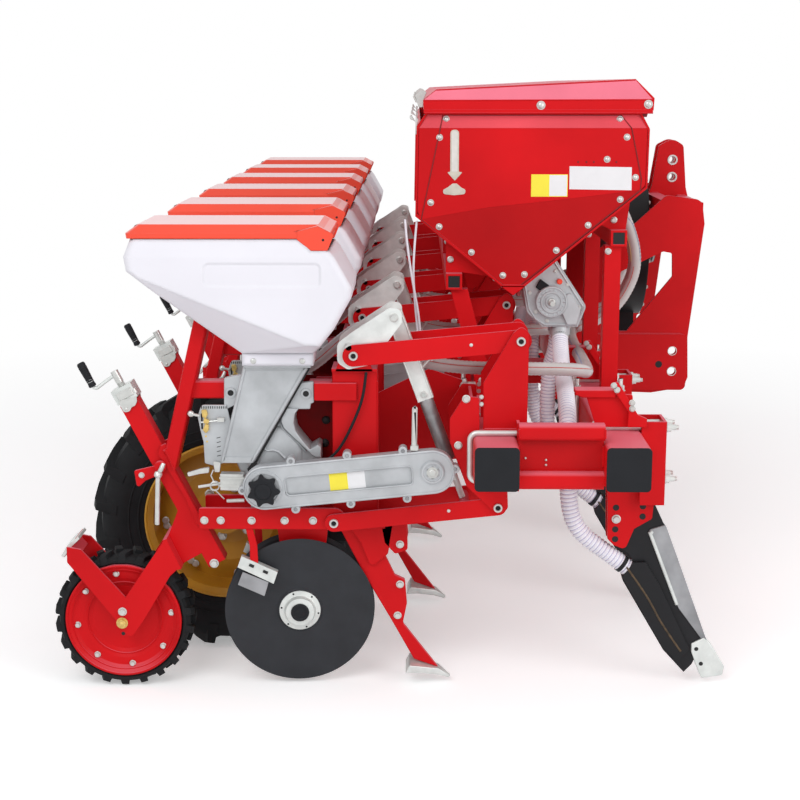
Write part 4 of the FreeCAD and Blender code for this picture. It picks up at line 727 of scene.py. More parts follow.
def addDepthColumns():
    setup = columnSetup
    plated = [slab(setup["tab"], -0.0325, -0.029, 0.0008), slab(setup["tab"], 0.029, 0.0325, 0.0008),
              paired(domeBolt, -0.8125, 0.818, 0.0325, 0.0055, 0.004),
              slab(setup["crown"], -0.0335, 0.0335, 0.0022),
              turned((-0.7885, -0.022, 0.862), (-0.45, 0.0, 0.89), setup["stub"], 16),
              ridged(*setup["screw"], 33, 0.0112, 0.0098, 16, 0.35), swept(setup["lockRod"], 0.0068, 12),
              spun((-0.7265, -0.05, 0.633), (-0.2, 0.0, 0.98), setup["ball"], 18),
              hexBolt((-0.776, -0.0345, 0.627), (0, -1, 0), 0.007, 0.006)]
    rowPiece("column_fittings", plated, "boltZinc")
    lug = [slab(setup["lug"], -0.0345, -0.0285, 0.0012),
           turned((-0.722, -0.034, 0.653), (0, -1, 0), [(0.0, 0.017), (0.008, 0.017), (0.01, 0.0145)], 20)]
    rowPiece("column_lugs", lug, "frameRed")
    (x0, z0), (x1, z1), radius = setup["grip"]
    length = math.hypot(x1 - x0, z1 - z0)
    profile = [(0.0, 0.0), (0.0, radius * 0.8), (0.004, radius * 0.94)]
    for step in range(9):
        start, wide = 0.01 + step * (length - 0.022) / 9, radius * (0.84 + 0.02 * step)
        profile += [(start, wide), (start + 0.0045, wide), (start + 0.0055, wide * 0.95)]
    profile += [(length - 0.006, radius), (length - 0.001, radius * 0.82), (length, radius * 0.6),
                (length, 0.0)]
    rowPiece("crank_grips", [spun((x0, 0.0, z0), (x1 - x0, 0.0, z1 - z0), profile, 18)], "capPlastic")
    print("depth columns")


# seed meter body: tapered neck, casting with a hollow front edge, lugs, dosing plate; each outline comes with
# the two faces it lies between and its eased edge
meterBodySetup = {
    "neck": ([(-0.479, 0.95), (-0.3, 0.95), (-0.455, 0.668), (-0.547, 0.668)], -0.055, 0.055, 0.001),
    "shell": ([(-0.5, 0.88), (-0.36, 0.88), (-0.346, 0.822), (-0.34, 0.806, 0.01), (-0.343, 0.78, 0.02),
               (-0.338, 0.758, 0.02), (-0.323, 0.737), (-0.298, 0.706), (-0.276, 0.719), (-0.268, 0.712),
               (-0.268, 0.668, 0.01), (-0.312, 0.632, 0.02), (-0.4, 0.604, 0.04), (-0.49, 0.622, 0.03),
               (-0.524, 0.7, 0.04)], -0.03, 0.05, 0.004),
    "band": ([(-0.372, 0.826), (-0.329, 0.822), (-0.3395, 0.806, 0.01), (-0.3425, 0.78, 0.02),
              (-0.3375, 0.758, 0.02), (-0.323, 0.737), (-0.298, 0.7055, 0.004), (-0.276, 0.7195),
              (-0.268, 0.712), (-0.268, 0.684), (-0.286, 0.684), (-0.303, 0.699, 0.01), (-0.329, 0.7255, 0.02),
              (-0.356, 0.7515, 0.02), (-0.371, 0.767, 0.015), (-0.379, 0.788, 0.015)], -0.048, -0.029, 0.002),
    "rearLug": ([(-0.538, 0.815, 0.008), (-0.493, 0.838), (-0.446, 0.838), (-0.446, 0.92),
                 (-0.492, 0.918, 0.008), (-0.536, 0.908, 0.006)], -0.039, -0.025, 0.0015),
    "frontLug": ([(-0.372, 0.82), (-0.297, 0.82, 0.003), (-0.295, 0.835), (-0.286, 0.839, 0.003),
                  (-0.286, 0.899, 0.005), (-0.318, 0.896), (-0.372, 0.88)], -0.0395, -0.0255, 0.0015),
    "dosing": ([(-0.612, 0.8, 0.01), (-0.6, 0.832, 0.012), (-0.53, 0.832), (-0.5, 0.69),
                (-0.562, 0.655, 0.006), (-0.595, 0.664, 0.006), (-0.597, 0.725),
                (-0.605, 0.76)], -0.043, -0.037, 0.0008),
    "flange": (box(-0.477, -0.291, 0.943, 0.95), -0.072, 0.072, 0.001),
    "sump": (box(-0.47, -0.38, 0.6, 0.66), -0.03, 0.03, 0.001),
    "spout": (box(-0.47, -0.42, 0.5, 0.605), -0.02, 0.02, 0.001),
    "driveBox": (box(-0.384, -0.345, 0.775, 0.842), 0.06, 0.122, 0.001),
}


def addMeterBodies():
    parts = [slab(*plate) for plate in meterBodySetup.values()]
    parts += [spun((-0.42, 0.049, 0.71), (0, 1, 0),
                   [(0.0, 0.09), (0.019, 0.09), (0.0215, 0.087), (0.0215, 0.0)], 48),
              spun((-0.402, -0.0295, 0.69), (0, -1, 0),
                   [(0.0, 0.082), (0.004, 0.078), (0.009, 0.06), (0.012, 0.03), (0.012, 0.0)], 48),
              spun((-0.419, 0.001, 0.615), (0, -1, 0), [(-0.002, 0.024), (0.098, 0.024), (0.098, 0.0)], 28)]
    bodies = rowPiece("meter_bodies", parts, "castAluminium")
    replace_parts(bodies, "seed_meters")
    # plate behind each meter, painted dark red as the shade on the row frame's inner side
    rowPiece("meter_shaded_backs", [slab(box(-0.352, -0.228, 0.56, 0.9), 0.051, 0.055, 0.001)], "shadedBackRed")
    studs = [domeBolt((x, 0.051, z), (0, -1, 0), 0.0125, 0.008) for x, z in ((-0.258, 0.769), (-0.262, 0.702))]
    rowPiece("meter_studs", studs, "deepShade")


# seed meter: raised edges of the casting, dosing scale, plated latch and spring
meterSetup = {
    "face": 0.055, "rib": 0.0032, "lugHoles": [(-0.518, -0.039, 0.866), (-0.308, -0.039, 0.864)],
    "strips": [
        [(-0.4785, 0.944), (-0.5465, 0.676), (-0.5375, 0.676), (-0.4705, 0.944)],
        [(-0.3, 0.944), (-0.4545, 0.676), (-0.4635, 0.676), (-0.3095, 0.944)],
        [(-0.4785, 0.944), (-0.4765, 0.934), (-0.3065, 0.934), (-0.3005, 0.944)],
        [(-0.544, 0.686), (-0.5465, 0.669), (-0.456, 0.669), (-0.45, 0.686)],
    ],
    "lines": [  # points in x and z, y, radius
        ([(-0.383, 0.788), (-0.376, 0.765), (-0.361, 0.748), (-0.333, 0.722), (-0.311, 0.697)], -0.034, 0.0036),
        ([(-0.427, 0.706), (-0.417, 0.701), (-0.402, 0.703), (-0.386, 0.697), (-0.369, 0.679)], -0.042, 0.004),
    ],
    "plates": [
        ([(-0.643, 0.641, 0.003), (-0.64, 0.63, 0.003), (-0.606, 0.638, 0.002), (-0.582, 0.641, 0.004),
          (-0.58, 0.657, 0.004), (-0.606, 0.652, 0.002)], -0.062, -0.05, 0.001),
        ([(-0.549, 0.641, 0.002), (-0.549, 0.594, 0.002), (-0.483, 0.592, 0.002), (-0.483, 0.64, 0.002)],
         -0.076, -0.04, 0.002),
        ([(-0.551, 0.633), (-0.551, 0.627), (-0.481, 0.626), (-0.481, 0.632)], -0.078, -0.074, 0.0006),
        ([(-0.551, 0.611), (-0.551, 0.605), (-0.481, 0.604), (-0.481, 0.61)], -0.078, -0.074, 0.0006),
        ([(-0.571, 0.672, 0.003), (-0.567, 0.64, 0.003), (-0.553, 0.64, 0.003), (-0.549, 0.668, 0.003)],
         -0.0505, -0.0435, 0.001),
        ([(-0.556, 0.797), (-0.556, 0.785), (-0.536, 0.785), (-0.536, 0.798)], -0.054, -0.043, 0.001),
    ],
    "rods": [  # points, radius, sides
        ([(-0.612, -0.06, 0.6), (-0.545, -0.06, 0.611)], 0.0042, 10),
        ([(-0.533, -0.062, 0.56), (-0.484, -0.062, 0.562)], 0.0052, 10),
        ([(-0.47, -0.038, 0.572), (-0.462, -0.038, 0.556)], 0.004, 8),
        ([(-0.568, -0.062, 0.615), (-0.576, -0.062, 0.634), (-0.569, -0.062, 0.65)], 0.002, 8),
        ([(-0.564, -0.062, 0.591), (-0.548, -0.062, 0.574), (-0.54, -0.062, 0.566)], 0.002, 8),
        ([(-0.601, -0.051, 0.784), (-0.556, -0.05, 0.789)], 0.0022, 8),
        ([(-0.63, -0.048, 0.807), (-0.606, -0.045, 0.802)], 0.004, 8),
    ],
    "spring": {"from": (-0.566, -0.066, 0.603), "long": 0.012, "radius": 0.0125, "wire": 0.0019, "turns": 3.5},
    "knobs": [
        [(-0.6, 0.819, 0.003), (-0.597, 0.799, 0.003), (-0.588, 0.795, 0.002), (-0.582, 0.806, 0.003),
         (-0.586, 0.82, 0.004)],
        [(-0.592, 0.798, 0.003), (-0.576, 0.787, 0.003), (-0.583, 0.779, 0.003), (-0.596, 0.782, 0.003)],
        [(-0.59, 0.78, 0.003), (-0.58, 0.777, 0.003), (-0.581, 0.76, 0.004), (-0.589, 0.752, 0.003),
         (-0.597, 0.762, 0.003)],
    ],
    # dark line in the casting's groove: painted shade
    "groove": [(-0.378, 0.786), (-0.37, 0.766), (-0.356, 0.75), (-0.328, 0.724), (-0.305, 0.699)],
    # dark strips along the neck's edge: painted shadow lines
    "shadowLines": [
        ([(-0.2985, 0.944), (-0.4535, 0.672), (-0.4475, 0.669), (-0.2935, 0.94)], -0.054, -0.046, 0.0008),
        ([(-0.452, 0.674), (-0.462, 0.668), (-0.474, 0.652), (-0.47, 0.64), (-0.462, 0.65), (-0.446, 0.668)],
         -0.06, -0.052, 0.0008),
    ],
}


# wound spring across the machine
def coil(setup):
    start, steps = Vector(setup["from"]), int(setup["turns"] * 14)
    axis, side, up = basisFor((0, 1, 0))
    line = []
    for step in range(steps + 1):
        c, s = circle(2.0 * math.pi * setup["turns"] * step / steps, setup["radius"])
        line.append(start + axis * (setup["long"] * step / steps) + side * c + up * s)
    return swept(line, setup["wire"], 6)


def addMeters():
    setup = meterSetup
    face, rib = setup["face"], setup["rib"]
    cast = []
    for strip in setup["strips"]:
        cast += [slab(strip, way * (face - 0.001), way * (face + rib), 0.0008) for way in sides]
    # rounded beads down both edges of the neck, raised lines of the open casting, bosses round the lug holes
    for x0, x1 in ((-0.4755, -0.5435), (-0.3045, -0.4585)):
        cast += [swept([(x0, y, 0.94), (x1, y, 0.674)], 0.0048, 10) for y in (-face, face)]
    cast += [swept([(x, y, z) for x, z in line], radius, 8) for line, y, radius in setup["lines"]]
    boss = [(0.0, 0.0155), (0.003, 0.0148), (0.003, 0.0085), (-0.004, 0.0085)]
    cast += [spun(place, (0, -1, 0), boss, 24) for place in setup["lugHoles"]]
    rowPiece("meter_castings", cast, "castAluminium")

    plated = [paired(domeBolt, x, 0.963, 0.078, 0.0085, 0.004) for x in (-0.449, -0.314)]
    plated += boltRing((-0.42, 0.071, 0.71), 6, math.radians(12.0), 0.077, 1.0, 0.0062, 0.006)
    plated += [slab(*plate) for plate in setup["plates"]] + [swept(*rod) for rod in setup["rods"]]
    plated += [coil(setup["spring"]), domeBolt((-0.63, -0.045, 0.807), (0, -1, 0), 0.0095, 0.007),
               domeBolt((-0.449, -0.0375, 0.8), (0, -1, 0), 0.006, 0.004)]
    rowPiece("meter_fittings", plated, "boltZinc")
    gold = [slab(knob, -0.053, -0.043, 0.0012) for knob in setup["knobs"]]
    gold += [domeBolt((x, -0.043, z), (0, -1, 0), 0.003, 0.0015) for x, z in ((-0.59, 0.742), (-0.587, 0.727))]
    rowPiece("dosing_knobs", gold, "passivated")

    # dosing slot, scale marks and lug holes; painted shade along the casting's groove and painted shadow lines
    # down the neck's edge
    marks = [box(-0.6025, -0.5975, 0.762, 0.808, 0.003)]
    marks += [box(-0.601 + step * 0.0062, -0.5984 + step * 0.0062, 0.8215, 0.8285) for step in range(12)]
    for z in (0.738 - step * 0.013 for step in range(5)):
        marks.append([(-0.56, z), (-0.56, z - 0.002), (-0.549, z + 0.001), (-0.549, z + 0.003)])
    dark = [slab(mark, -0.0434, -0.0428) for mark in marks] + [slab(*shadowLine) for shadowLine in setup["shadowLines"]]
    dark.append(swept([(x, -0.0305, z) for x, z in setup["groove"]], 0.0024, 8))
    dark += [turned(place, (0, -1, 0), [(-0.005, 0.0088), (0.0016, 0.0088)], 20) for place in setup["lugHoles"]]
    rowPiece("meter_marks", dark, "deepShade")
    print("meters")


# chain case: bolts, star knob, shaft end and the blank label
caseSetup = {"rear": (-0.419, 0.615), "front": (0.045, 0.662), "face": -0.128, "floor": -0.121, "half": 0.0585,
             "lugs": [(-0.346, 0.692), (-0.191, 0.708), (-0.037, 0.722), (0.107, 0.671), (-0.025, 0.587),
                      (-0.181, 0.571), (-0.334, 0.555), (-0.481, 0.608)]}


def addChainCases():
    (rx, rz), (fx, fz), face, floor, half, lugs = caseSetup.values()
    c, s = circle(math.atan2(fz - rz, fx - rx))
    right = (0, -1, 0)

    def place(along, up):
        return rx + c * along - s * up, rz + s * along + c * up

    rowPiece("case_bolts", [hexBolt((x, face, z), right, 0.005, 0.004, 1.15) for x, z in lugs], "wornSteel")
    end = [(0.0, 0.019), (0.002, 0.0185), (0.002, 0.011), (0.007, 0.0105), (0.008, 0.009)]
    rowPiece("case_shaft_ends", [turned((fx, -0.133, fz), right, end, 6)], "boltZinc")

    # raised lip round the case, rolled edge of the recess, rings on the boss and the hub
    loop = []
    for along, start in ((0.0, math.pi / 2), (math.hypot(fx - rx, fz - rz), -math.pi / 2)):
        for step in range(21):
            out, up = circle(start + math.pi * step / 20, half)
            loop.append(place(along + out, up))
    rim = roundedOutline([(*place(0.0585, -0.0285), 0.012), (*place(0.4105, -0.03), 0.012),
                          (*place(0.4105, 0.0245), 0.012), (*place(0.0565, 0.0255), 0.012)], 6)
    cast = [swept([(x, face + proud, z) for x, z in line + line[:1]], radius, 8, False)
            for line, proud, radius in ((loop, 0.0008, 0.0034), (rim, 0.0004, 0.0024))]
    for reach, width, proud in ((0.031, 0.0055, 0.0035), (0.02, 0.004, 0.002)):
        ring = [(-0.001, reach), (proud * 0.7, reach), (proud, reach - 0.001), (proud, reach - width),
                (-0.001, reach - width - 0.001)]
        cast.append(spun((fx, -0.133, fz), right, ring, 40))
    ring = [(-0.001, 0.047), (0.0022, 0.046), (0.0022, 0.041), (-0.001, 0.04)]
    cast.append(spun((rx, -0.133, rz), right, ring, 44))
    boss = [(-0.001, 0.0125), (0.0012, 0.0118), (0.0012, 0.0)]
    cast += [spun((x, face, z), right, boss, 20) for x, z in lugs]
    rowPiece("case_castings", cast, "castAluminium")

    # star knob with seven lobes
    outline = []
    for angle in (2.0 * math.pi * step / 84 for step in range(84)):
        reach = 0.0392 + 0.006 * math.cos(7.0 * angle + 0.5) + 0.0016 * math.cos(14.0 * angle + 1.0)
        outline.append((rx - 0.002 + reach * math.cos(angle), rz - 0.003 + reach * math.sin(angle)))
    crown = [(-0.002, 0.024), (0.0, 0.024), (0.005, 0.021), (0.007, 0.015), (0.0055, 0.009), (0.004, 0.0)]
    rowPiece("case_knobs", [slab(outline, -0.154, -0.136, 0.004),
                            spun((rx - 0.002, -0.153, rz - 0.003), right, crown, 32)], "capPlastic")
    for name, start, end, finish in (("case_label_hand", 0.18, 0.2305, "labelYellow"),
                                     ("case_label_text", 0.2305, 0.279, "labelWhite")):
        corners = [place(start, -0.0265), place(end, -0.0268), place(end, 0.0215), place(start, 0.0218)]
        rowPiece(name, [slab(corners, floor - 0.0008, floor + 0.0002)], finish)
    print("chain cases")


# front post: sensor cable, rail ends and the stay of the chain case
postSetup = {
    "cable": [(-0.136, -0.052, 0.96), (-0.142, -0.056, 0.9), (-0.152, -0.056, 0.842), (-0.184, -0.052, 0.765),
              (-0.218, -0.05, 0.702), (-0.258, -0.062, 0.672), (-0.3, -0.072, 0.652)],
    "rail": [(-0.285, 0.896, 0.004), (-0.285, 0.846, 0.004), (-0.166, 0.846, 0.002), (-0.166, 0.896, 0.002)],
    "stay": [(-0.0135, 0.728, 0.002), (-0.0115, 0.846, 0.008), (0.0035, 0.846, 0.008), (0.002, 0.728, 0.002)],
}


def addPosts():
    rowPiece("sensor_cables", [swept(softLine(postSetup["cable"], 0.012), 0.0042, 10)], "capPlastic")
    rowPiece("post_rails", [platePair(postSetup["rail"], 0.0455, 0.005, 0.0015)], "frameRed")
    rowPiece("case_stays", [slab(postSetup["stay"], -0.125, -0.117, 0.0025),
                            slab(box(-0.0165, 0.006, 0.722, 0.736, 0.004), -0.128, -0.108, 0.001),
                            turned((-0.004, -0.125, 0.836), (0, -1, 0), [(-0.003, 0.005), (0.006, 0.005)], 14)],
             "boltZinc")


# scraper: slotted plated angle over each disc's edge; outlines with thickness inwards and eased edge
scraperSetup = {
    "face": 0.0715,
    "plates": [([(-0.506, 0.369), (-0.494, 0.402), (-0.392, 0.355), (-0.404, 0.32)], -0.004, 0.0008),
               ([(-0.494, 0.402), (-0.392, 0.355), (-0.3935, 0.352), (-0.4955, 0.399)], 0.018, 0.0005)],
    "blade": ([(-0.4915, 0.354, 0.003), (-0.5065, 0.316, 0.002), (-0.431, 0.282, 0.002),
               (-0.4185, 0.324, 0.003)], 0.004, 0.0006),
    "arm": ([(-0.481, 0.485), (-0.461, 0.485), (-0.449, 0.432, 0.01), (-0.447, 0.372, 0.004),
             (-0.47, 0.384, 0.004), (-0.47, 0.43, 0.01)], 0.006, 0.0008),
    "slots": [((-0.472, 0.377), (-0.459, 0.371)), ((-0.433, 0.3585), (-0.42, 0.3525))],
}


def addScrapers():
    setup = scraperSetup
    face = setup["face"]

    def inward(outline, thick, ease):
        return joined([slab(outline, way * face, way * (face - thick), ease) for way in sides])

    plates = rowPiece("scraper_plates", [inward(*plate) for plate in setup["plates"]], "zincPlate")
    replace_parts(plates, "disc_scrapers")
    rowPiece("scraper_blades", [inward(*setup["blade"])], "wornSteel")
    rowPiece("scraper_arms", [inward(*setup["arm"])], "frameRed")
    slots = [swept([(x, way * (face + 0.0042), z) for x, z in slot], 0.0042, 12)
             for way in sides for slot in setup["slots"]]
    rowPiece("scraper_slots", slots, "deepShade")
    print("scrapers")


addPivots()
addRowBolts()
addRowFrames()
addSoilParts()
addStruts()
addDepthColumns()
addMeterBodies()
addMeters()
addChainCases()
addPosts()
addScrapers()
print("row units")


# one tread bar: at each station (y, low, high, start angle, end angle, taper)
def treadBar(centre, stations):
    points, faces = [], [(0, 1, 2, 3)]
    for y, low, high, start, end, taper in stations:
        points += [onWheel(centre, start, low, y), onWheel(centre, start + taper, high, y),
                   onWheel(centre, end - taper, high, y), onWheel(centre, end, low, y)]
    last = len(points) - 4
    for base in range(0, last, 4):
        faces += [(base + k, base + k + 1, base + k + 5, base + k + 4) for k in range(3)]
        faces.append((base + 3, base, base + 4, base + 7))
    return points, faces + [(last + 3, last + 2, last + 1, last)]


# carcass with staggered bars on both sides; a station is (y, low, high, lean, taper), with lean and taper as
# shares of the pitch
def tyreParts(centre, setup):
    parts = [closedSpin([(-y, r) for y, r in setup["side"]] + setup["side"][::-1], centre, setup["turns"])]
    pitch, wide = 2.0 * math.pi / setup["bars"], setup["wide"]
    for bar in range(setup["bars"]):
        for side in sides:
            start = (bar + (0.5 if side > 0.0 else 0.0)) * pitch
            parts.append(treadBar(centre, [
                (side * y, low, high, start + lean * pitch, start + (lean + wide) * pitch, taper * pitch)
                for y, low, high, lean, taper in setup["stations"]]))
    return parts


# round rings on both sides of a wheel, each with its radius, y and wire
def wireRings(centre, rings, corners, turns):
    parts = []
    for radius, y, wire in rings:
        spots = [circle(2.0 * math.pi * k / corners, wire) for k in range(corners)]
        parts += [closedSpin([(side * y + a, radius + b) for a, b in spots], centre, turns) for side in sides]
    return parts


# press wheels: short staggered bars round a low carcass, bolted red rim
pressSetup = {
    "x": -0.84, "z": 0.2, "turns": 72, "bars": 22, "wide": 0.46,
    "side": [(0.0415, 0.1676), (0.0485, 0.1736), (0.0495, 0.1806), (0.0465, 0.1815), (0.0395, 0.1865),
             (0.0275, 0.1875)],
    "stations": [(0.003, 0.1845, 0.1998, 0.0, 0.05), (0.0355, 0.1845, 0.1998, 0.2, 0.05),
                 (0.046, 0.1815, 0.1958, 0.26, 0.06), (0.0495, 0.1715, 0.1795, 0.28, 0.1)],
    "lips": [(0.163, 0.0485, 0.0034), (0.15, 0.0405, 0.0022), (0.108, 0.0255, 0.0024)],
    "guard": [(-1.0125, 0.391), (-1.004, 0.3865), (-0.985, 0.415), (-0.957, 0.442), (-0.962, 0.449),
              (-0.993, 0.424)],
}


def addPressWheels():
    setup = pressSetup
    x, z = setup["x"], setup["z"]
    for number, place in enumerate(rowPlaces, start=1):
        centre, body = (x, place, z), f"press_wheel_{number}"
        tyre = makePiece(f"press_tyre_{number}_tread", tyreParts(centre, setup), "tyreRubber", body, 30.0)
        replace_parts(tyre, f"press_tyre_{number}")
        bolts = []
        for side in sides:
            bolts += boltRing((x, place + side * 0.0335, z), 8, math.radians(8.0), 0.137, side, 0.0078, 0.008)
            bolts.append(turned((x, place + side * 0.046, z), (0, side, 0), [(0.0, 0.019), (0.006, 0.018)], 24))
        makePiece(f"press_rim_{number}_bolts", bolts, "boltZinc", body)
        makePiece(f"press_rim_{number}_lips", wireRings(centre, setup["lips"], 8, 72), "frameRed", body)
    rowPiece("fork_bolts", [paired(hexBolt, -0.838, 0.234, 0.07, 0.0105, 0.01)], "boltZinc")
    # bent scraper plate over the tie bar at the back of each fork
    rowPiece("fork_guards", [slab(setup["guard"], -0.0465, 0.0465, 0.0008)], "zincPlate")
    nuts = [paired(turned, x, z, 0.07, [(0.0, 0.0165), (0.0022, 0.0165)], 22),
            paired(turned, x, z, 0.07, [(0.002, 0.0128), (0.01, 0.0128), (0.0112, 0.0112)], 6),
            paired(domeBolt, x, z, 0.081, 0.0075, 0.004)]
    rowPiece("axle_nuts", nuts, "passivated")
    hole = [(0.0, 0.0055), (0.0006, 0.005)]
    rowPiece("fork_holes", [paired(turned, -0.838, 0.168, 0.07, hole, 16)], "deepShade")
    print("press wheels")


# opener discs: plated hub cover with small rivets and a black cap
hubSetup = {
    "cover": [(0.0055, 0.0595), (0.0082, 0.059), (0.0092, 0.0572), (0.0096, 0.048), (0.011, 0.0455),
              (0.0228, 0.041), (0.024, 0.0388), (0.024, 0.0262), (0.0222, 0.0262)],
    "cap": [(0.022, 0.0262), (0.029, 0.0258), (0.0312, 0.0238), (0.0312, 0.0185), (0.0298, 0.017),
            (0.0298, 0.012), (0.0308, 0.01), (0.0308, 0.0)],
}


def addDiscs():
    for number, place in enumerate(rowPlaces, start=1):
        for side, hand in zip(sides, ("right", "left")):
            hub, way = discHub(place, side)
            axis, across, up = basisFor(way)
            body = f"opener_disc_{number}_{hand}"
            makePiece(f"disc_{number}_{hand}_hub", spun(hub, way, hubSetup["cover"], 48), "zincPlate", body)
            cap = [spun(hub, way, hubSetup["cap"], 32)]
            for rivet in range(6):
                c, s = circle(math.radians(60.0 * rivet + 20.0), 0.0535)
                cap.append(domeBolt(hub + axis * 0.0092 + across * c + up * s, way, 0.003, 0.0012))
            makePiece(f"disc_{number}_{hand}_cap", cap, "capPlastic", body)
    print("discs")


# ground wheels: tall slanted bars on both sides, bolted yellow rim
groundSetup = {
    "x": -0.585, "y": 1.4, "z": 0.405, "turns": 96, "bars": 20, "wide": 0.3,
    "side": [(0.066, 0.2262), (0.0745, 0.2362), (0.08, 0.2542), (0.0885, 0.275), (0.0965, 0.305),
             (0.0975, 0.33), (0.092, 0.355), (0.078, 0.3715), (0.052, 0.3795), (0.02, 0.381)],
    "stations": [(-0.012, 0.377, 0.4035, -0.1, 0.05), (0.03, 0.376, 0.4035, 0.12, 0.05),
                 (0.072, 0.368, 0.4005, 0.38, 0.05), (0.094, 0.348, 0.3905, 0.46, 0.06),
                 (0.0985, 0.325, 0.362, 0.5, 0.09)],
    "beads": [(0.262, 0.0835, 0.003), (0.29, 0.0925, 0.0026)],
    "lips": [(0.24, 0.0795, 0.0045), (0.2225, 0.064, 0.003)],
    "cap": [(0.0, 0.023), (0.0, 0.034), (0.014, 0.032), (0.02, 0.027), (0.02, 0.023), (0.0, 0.023)],
}


def addGroundWheels():
    setup = groundSetup
    x, z = setup["x"], setup["z"]
    for hand, way in zip(("right", "left"), sides):
        y, body = way * setup["y"], f"ground_wheel_{hand}"
        centre = (x, y, z)
        parts = tyreParts(centre, setup) + wireRings(centre, setup["beads"], 6, 80)
        tyre = makePiece(f"ground_tyre_{hand}_tread", parts, "tyreRubber", body, 30.0)
        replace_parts(tyre, f"ground_tyre_{hand}")
        bolts = []
        for side, inner, outer in ((1.0, 0.034, 0.024), (-1.0, 0.022, 0.012)):
            bolts += boltRing((x, y + inner, z), 6, math.radians(15.0), 0.08, side, 0.0125, 0.013)
            for turn in (-0.045, 0.045):
                bolts += boltRing((x, y + outer, z), 8, math.radians(10.0) + turn, 0.196, side, 0.0095, 0.009)
        makePiece(f"ground_rim_{hand}_bolts", bolts, "boltZinc", body)
        makePiece(f"ground_rim_{hand}_lips", wireRings(centre, setup["lips"], 8, 80), "rimYellow", body)
        cap = spun((x, y + 0.07, z), (0, 1, 0), setup["cap"], 28)
        makePiece(f"ground_rim_{hand}_cap", cap, "capPlastic", body)
    print("ground wheels")


# seed lids: hinge bolts and ears at the front, rubber latch at the rear
lidSetup = {
    "straps": [[(-0.7795, 1.322, 0.002), (-0.7795, 1.3, 0.002), (-0.7725, 1.3), (-0.7725, 1.324)],
               [(-0.7735, 1.33, 0.002), (-0.7795, 1.322, 0.002), (-0.7725, 1.318), (-0.76, 1.332)]],
    "ear": [(-0.3175, 1.328), (-0.3175, 1.306, 0.002), (-0.2805, 1.2765, 0.006), (-0.2365, 1.2765, 0.005),
            (-0.2185, 1.32, 0.008), (-0.262, 1.34)],
}


def addLids():
    for number, place in enumerate(rowPlaces, start=1):
        body = f"seed_lid_{number}"
        dark = [domeBolt((-0.248, place + side * 0.1665, 1.305), (0, side, 0), 0.0058, 0.003) for side in sides]
        dark += [slab(strap, place - 0.018, place + 0.018, 0.001) for strap in lidSetup["straps"]]
        makePiece(f"seed_lid_{number}_hardware", dark, "capPlastic", body)
        ears = [slab(lidSetup["ear"], y - 0.0012, y + 0.0012, 0.0008) for y in (place - 0.1676, place + 0.1676)]
        makePiece(f"seed_lid_{number}_ears", ears, "lidPlastic", body)
    print("lids")


addPressWheels()
addDiscs()
addGroundWheels()
addLids()
print("wheels and lids")


# fertilizer hopper: folded end sheets, bolts, level window, blank labels
tankSetup = {
    "skin": 1.2922, "fold": 0.0075, "foldLine": 1.5795,
    "bolts": [(0.088, 1.6055), (0.609, 1.6055), (0.068, 1.552), (0.631, 1.553), (0.042, 1.357), (0.66, 1.433),
              (0.616, 1.367), (0.068, 1.284), (0.521, 1.289), (0.167, 1.206), (0.426, 1.212), (0.264, 1.135),
              (0.33, 1.138), (0.573, 1.487)],
    "panel": [(0.078, 1.618), (0.07, 1.5795), (0.0135, 1.306), (0.2925, 1.0835), (0.676, 1.395),
              (0.678, 1.428), (0.662, 1.5), (0.644, 1.5795), (0.612, 1.618), (0.078, 1.618)],
    "crease": [(0.0135, 1.306), (0.222, 1.343), (0.449, 1.367), (0.676, 1.395)],
    "plates": [  # name, finish, how proud, eased edge, outlines
        ("level_frames", "palePlate", 0.0016, 0.00048, [
            [(0.1005, 1.575, 0.011), (0.1005, 1.449, 0.004), (0.0905, 1.449, 0.002), (0.1145, 1.4225, 0.002),
             (0.138, 1.449, 0.002), (0.1265, 1.449, 0.004), (0.1265, 1.575, 0.011)],
            [(0.108, 1.4145, 0.006), (0.0925, 1.4025, 0.006), (0.0795, 1.396, 0.006), (0.079, 1.3825, 0.008),
             (0.113, 1.379, 0.02), (0.147, 1.3825, 0.008), (0.147, 1.396, 0.006), (0.1345, 1.4025, 0.006),
             (0.1205, 1.4145, 0.006)]]),
        ("level_windows", "windowGlass", 0.0024, 0.00048, [
            [(0.1045, 1.571, 0.007), (0.1045, 1.45, 0.002), (0.1225, 1.45, 0.002), (0.1225, 1.571, 0.007)]]),
        ("tank_label_hand", "labelYellow", 0.0008, 0.0002, [box(0.3475, 0.4005, 1.377, 1.44)]),
        ("tank_label_text", "labelWhite", 0.0008, 0.0002, [box(0.4005, 0.454, 1.377, 1.44)]),
        ("tank_label_blank", "labelWhite", 0.0008, 0.0002, [
            [(0.4605, 1.4665), (0.461, 1.3975), (0.649, 1.3945), (0.648, 1.4635)]]),
        ("tank_label_border", "labelYellow", 0.0004, 0.0002, [box(0.3455, 0.456, 1.375, 1.442)]),
    ],
}


def creaseAt(x):
    line = tankSetup["crease"]
    for (x0, z0), (x1, z1) in zip(line, line[1:]):
        if x <= x1:
            return z0 + (z1 - z0) * (x - x0) / (x1 - x0)
    return line[-1][1]


# how far out the folded end sheet stands at a spot
def skinAt(x, z):
    middle = creaseAt(x)
    share = 0.2 + 0.8 * (z - 1.0815) / (middle - 1.0815)
    if z >= middle:
        share = (1.6185 - z) / (1.6185 - tankSetup["foldLine"])
    return tankSetup["skin"] + tankSetup["fold"] * min(1.0, max(0.0, share))


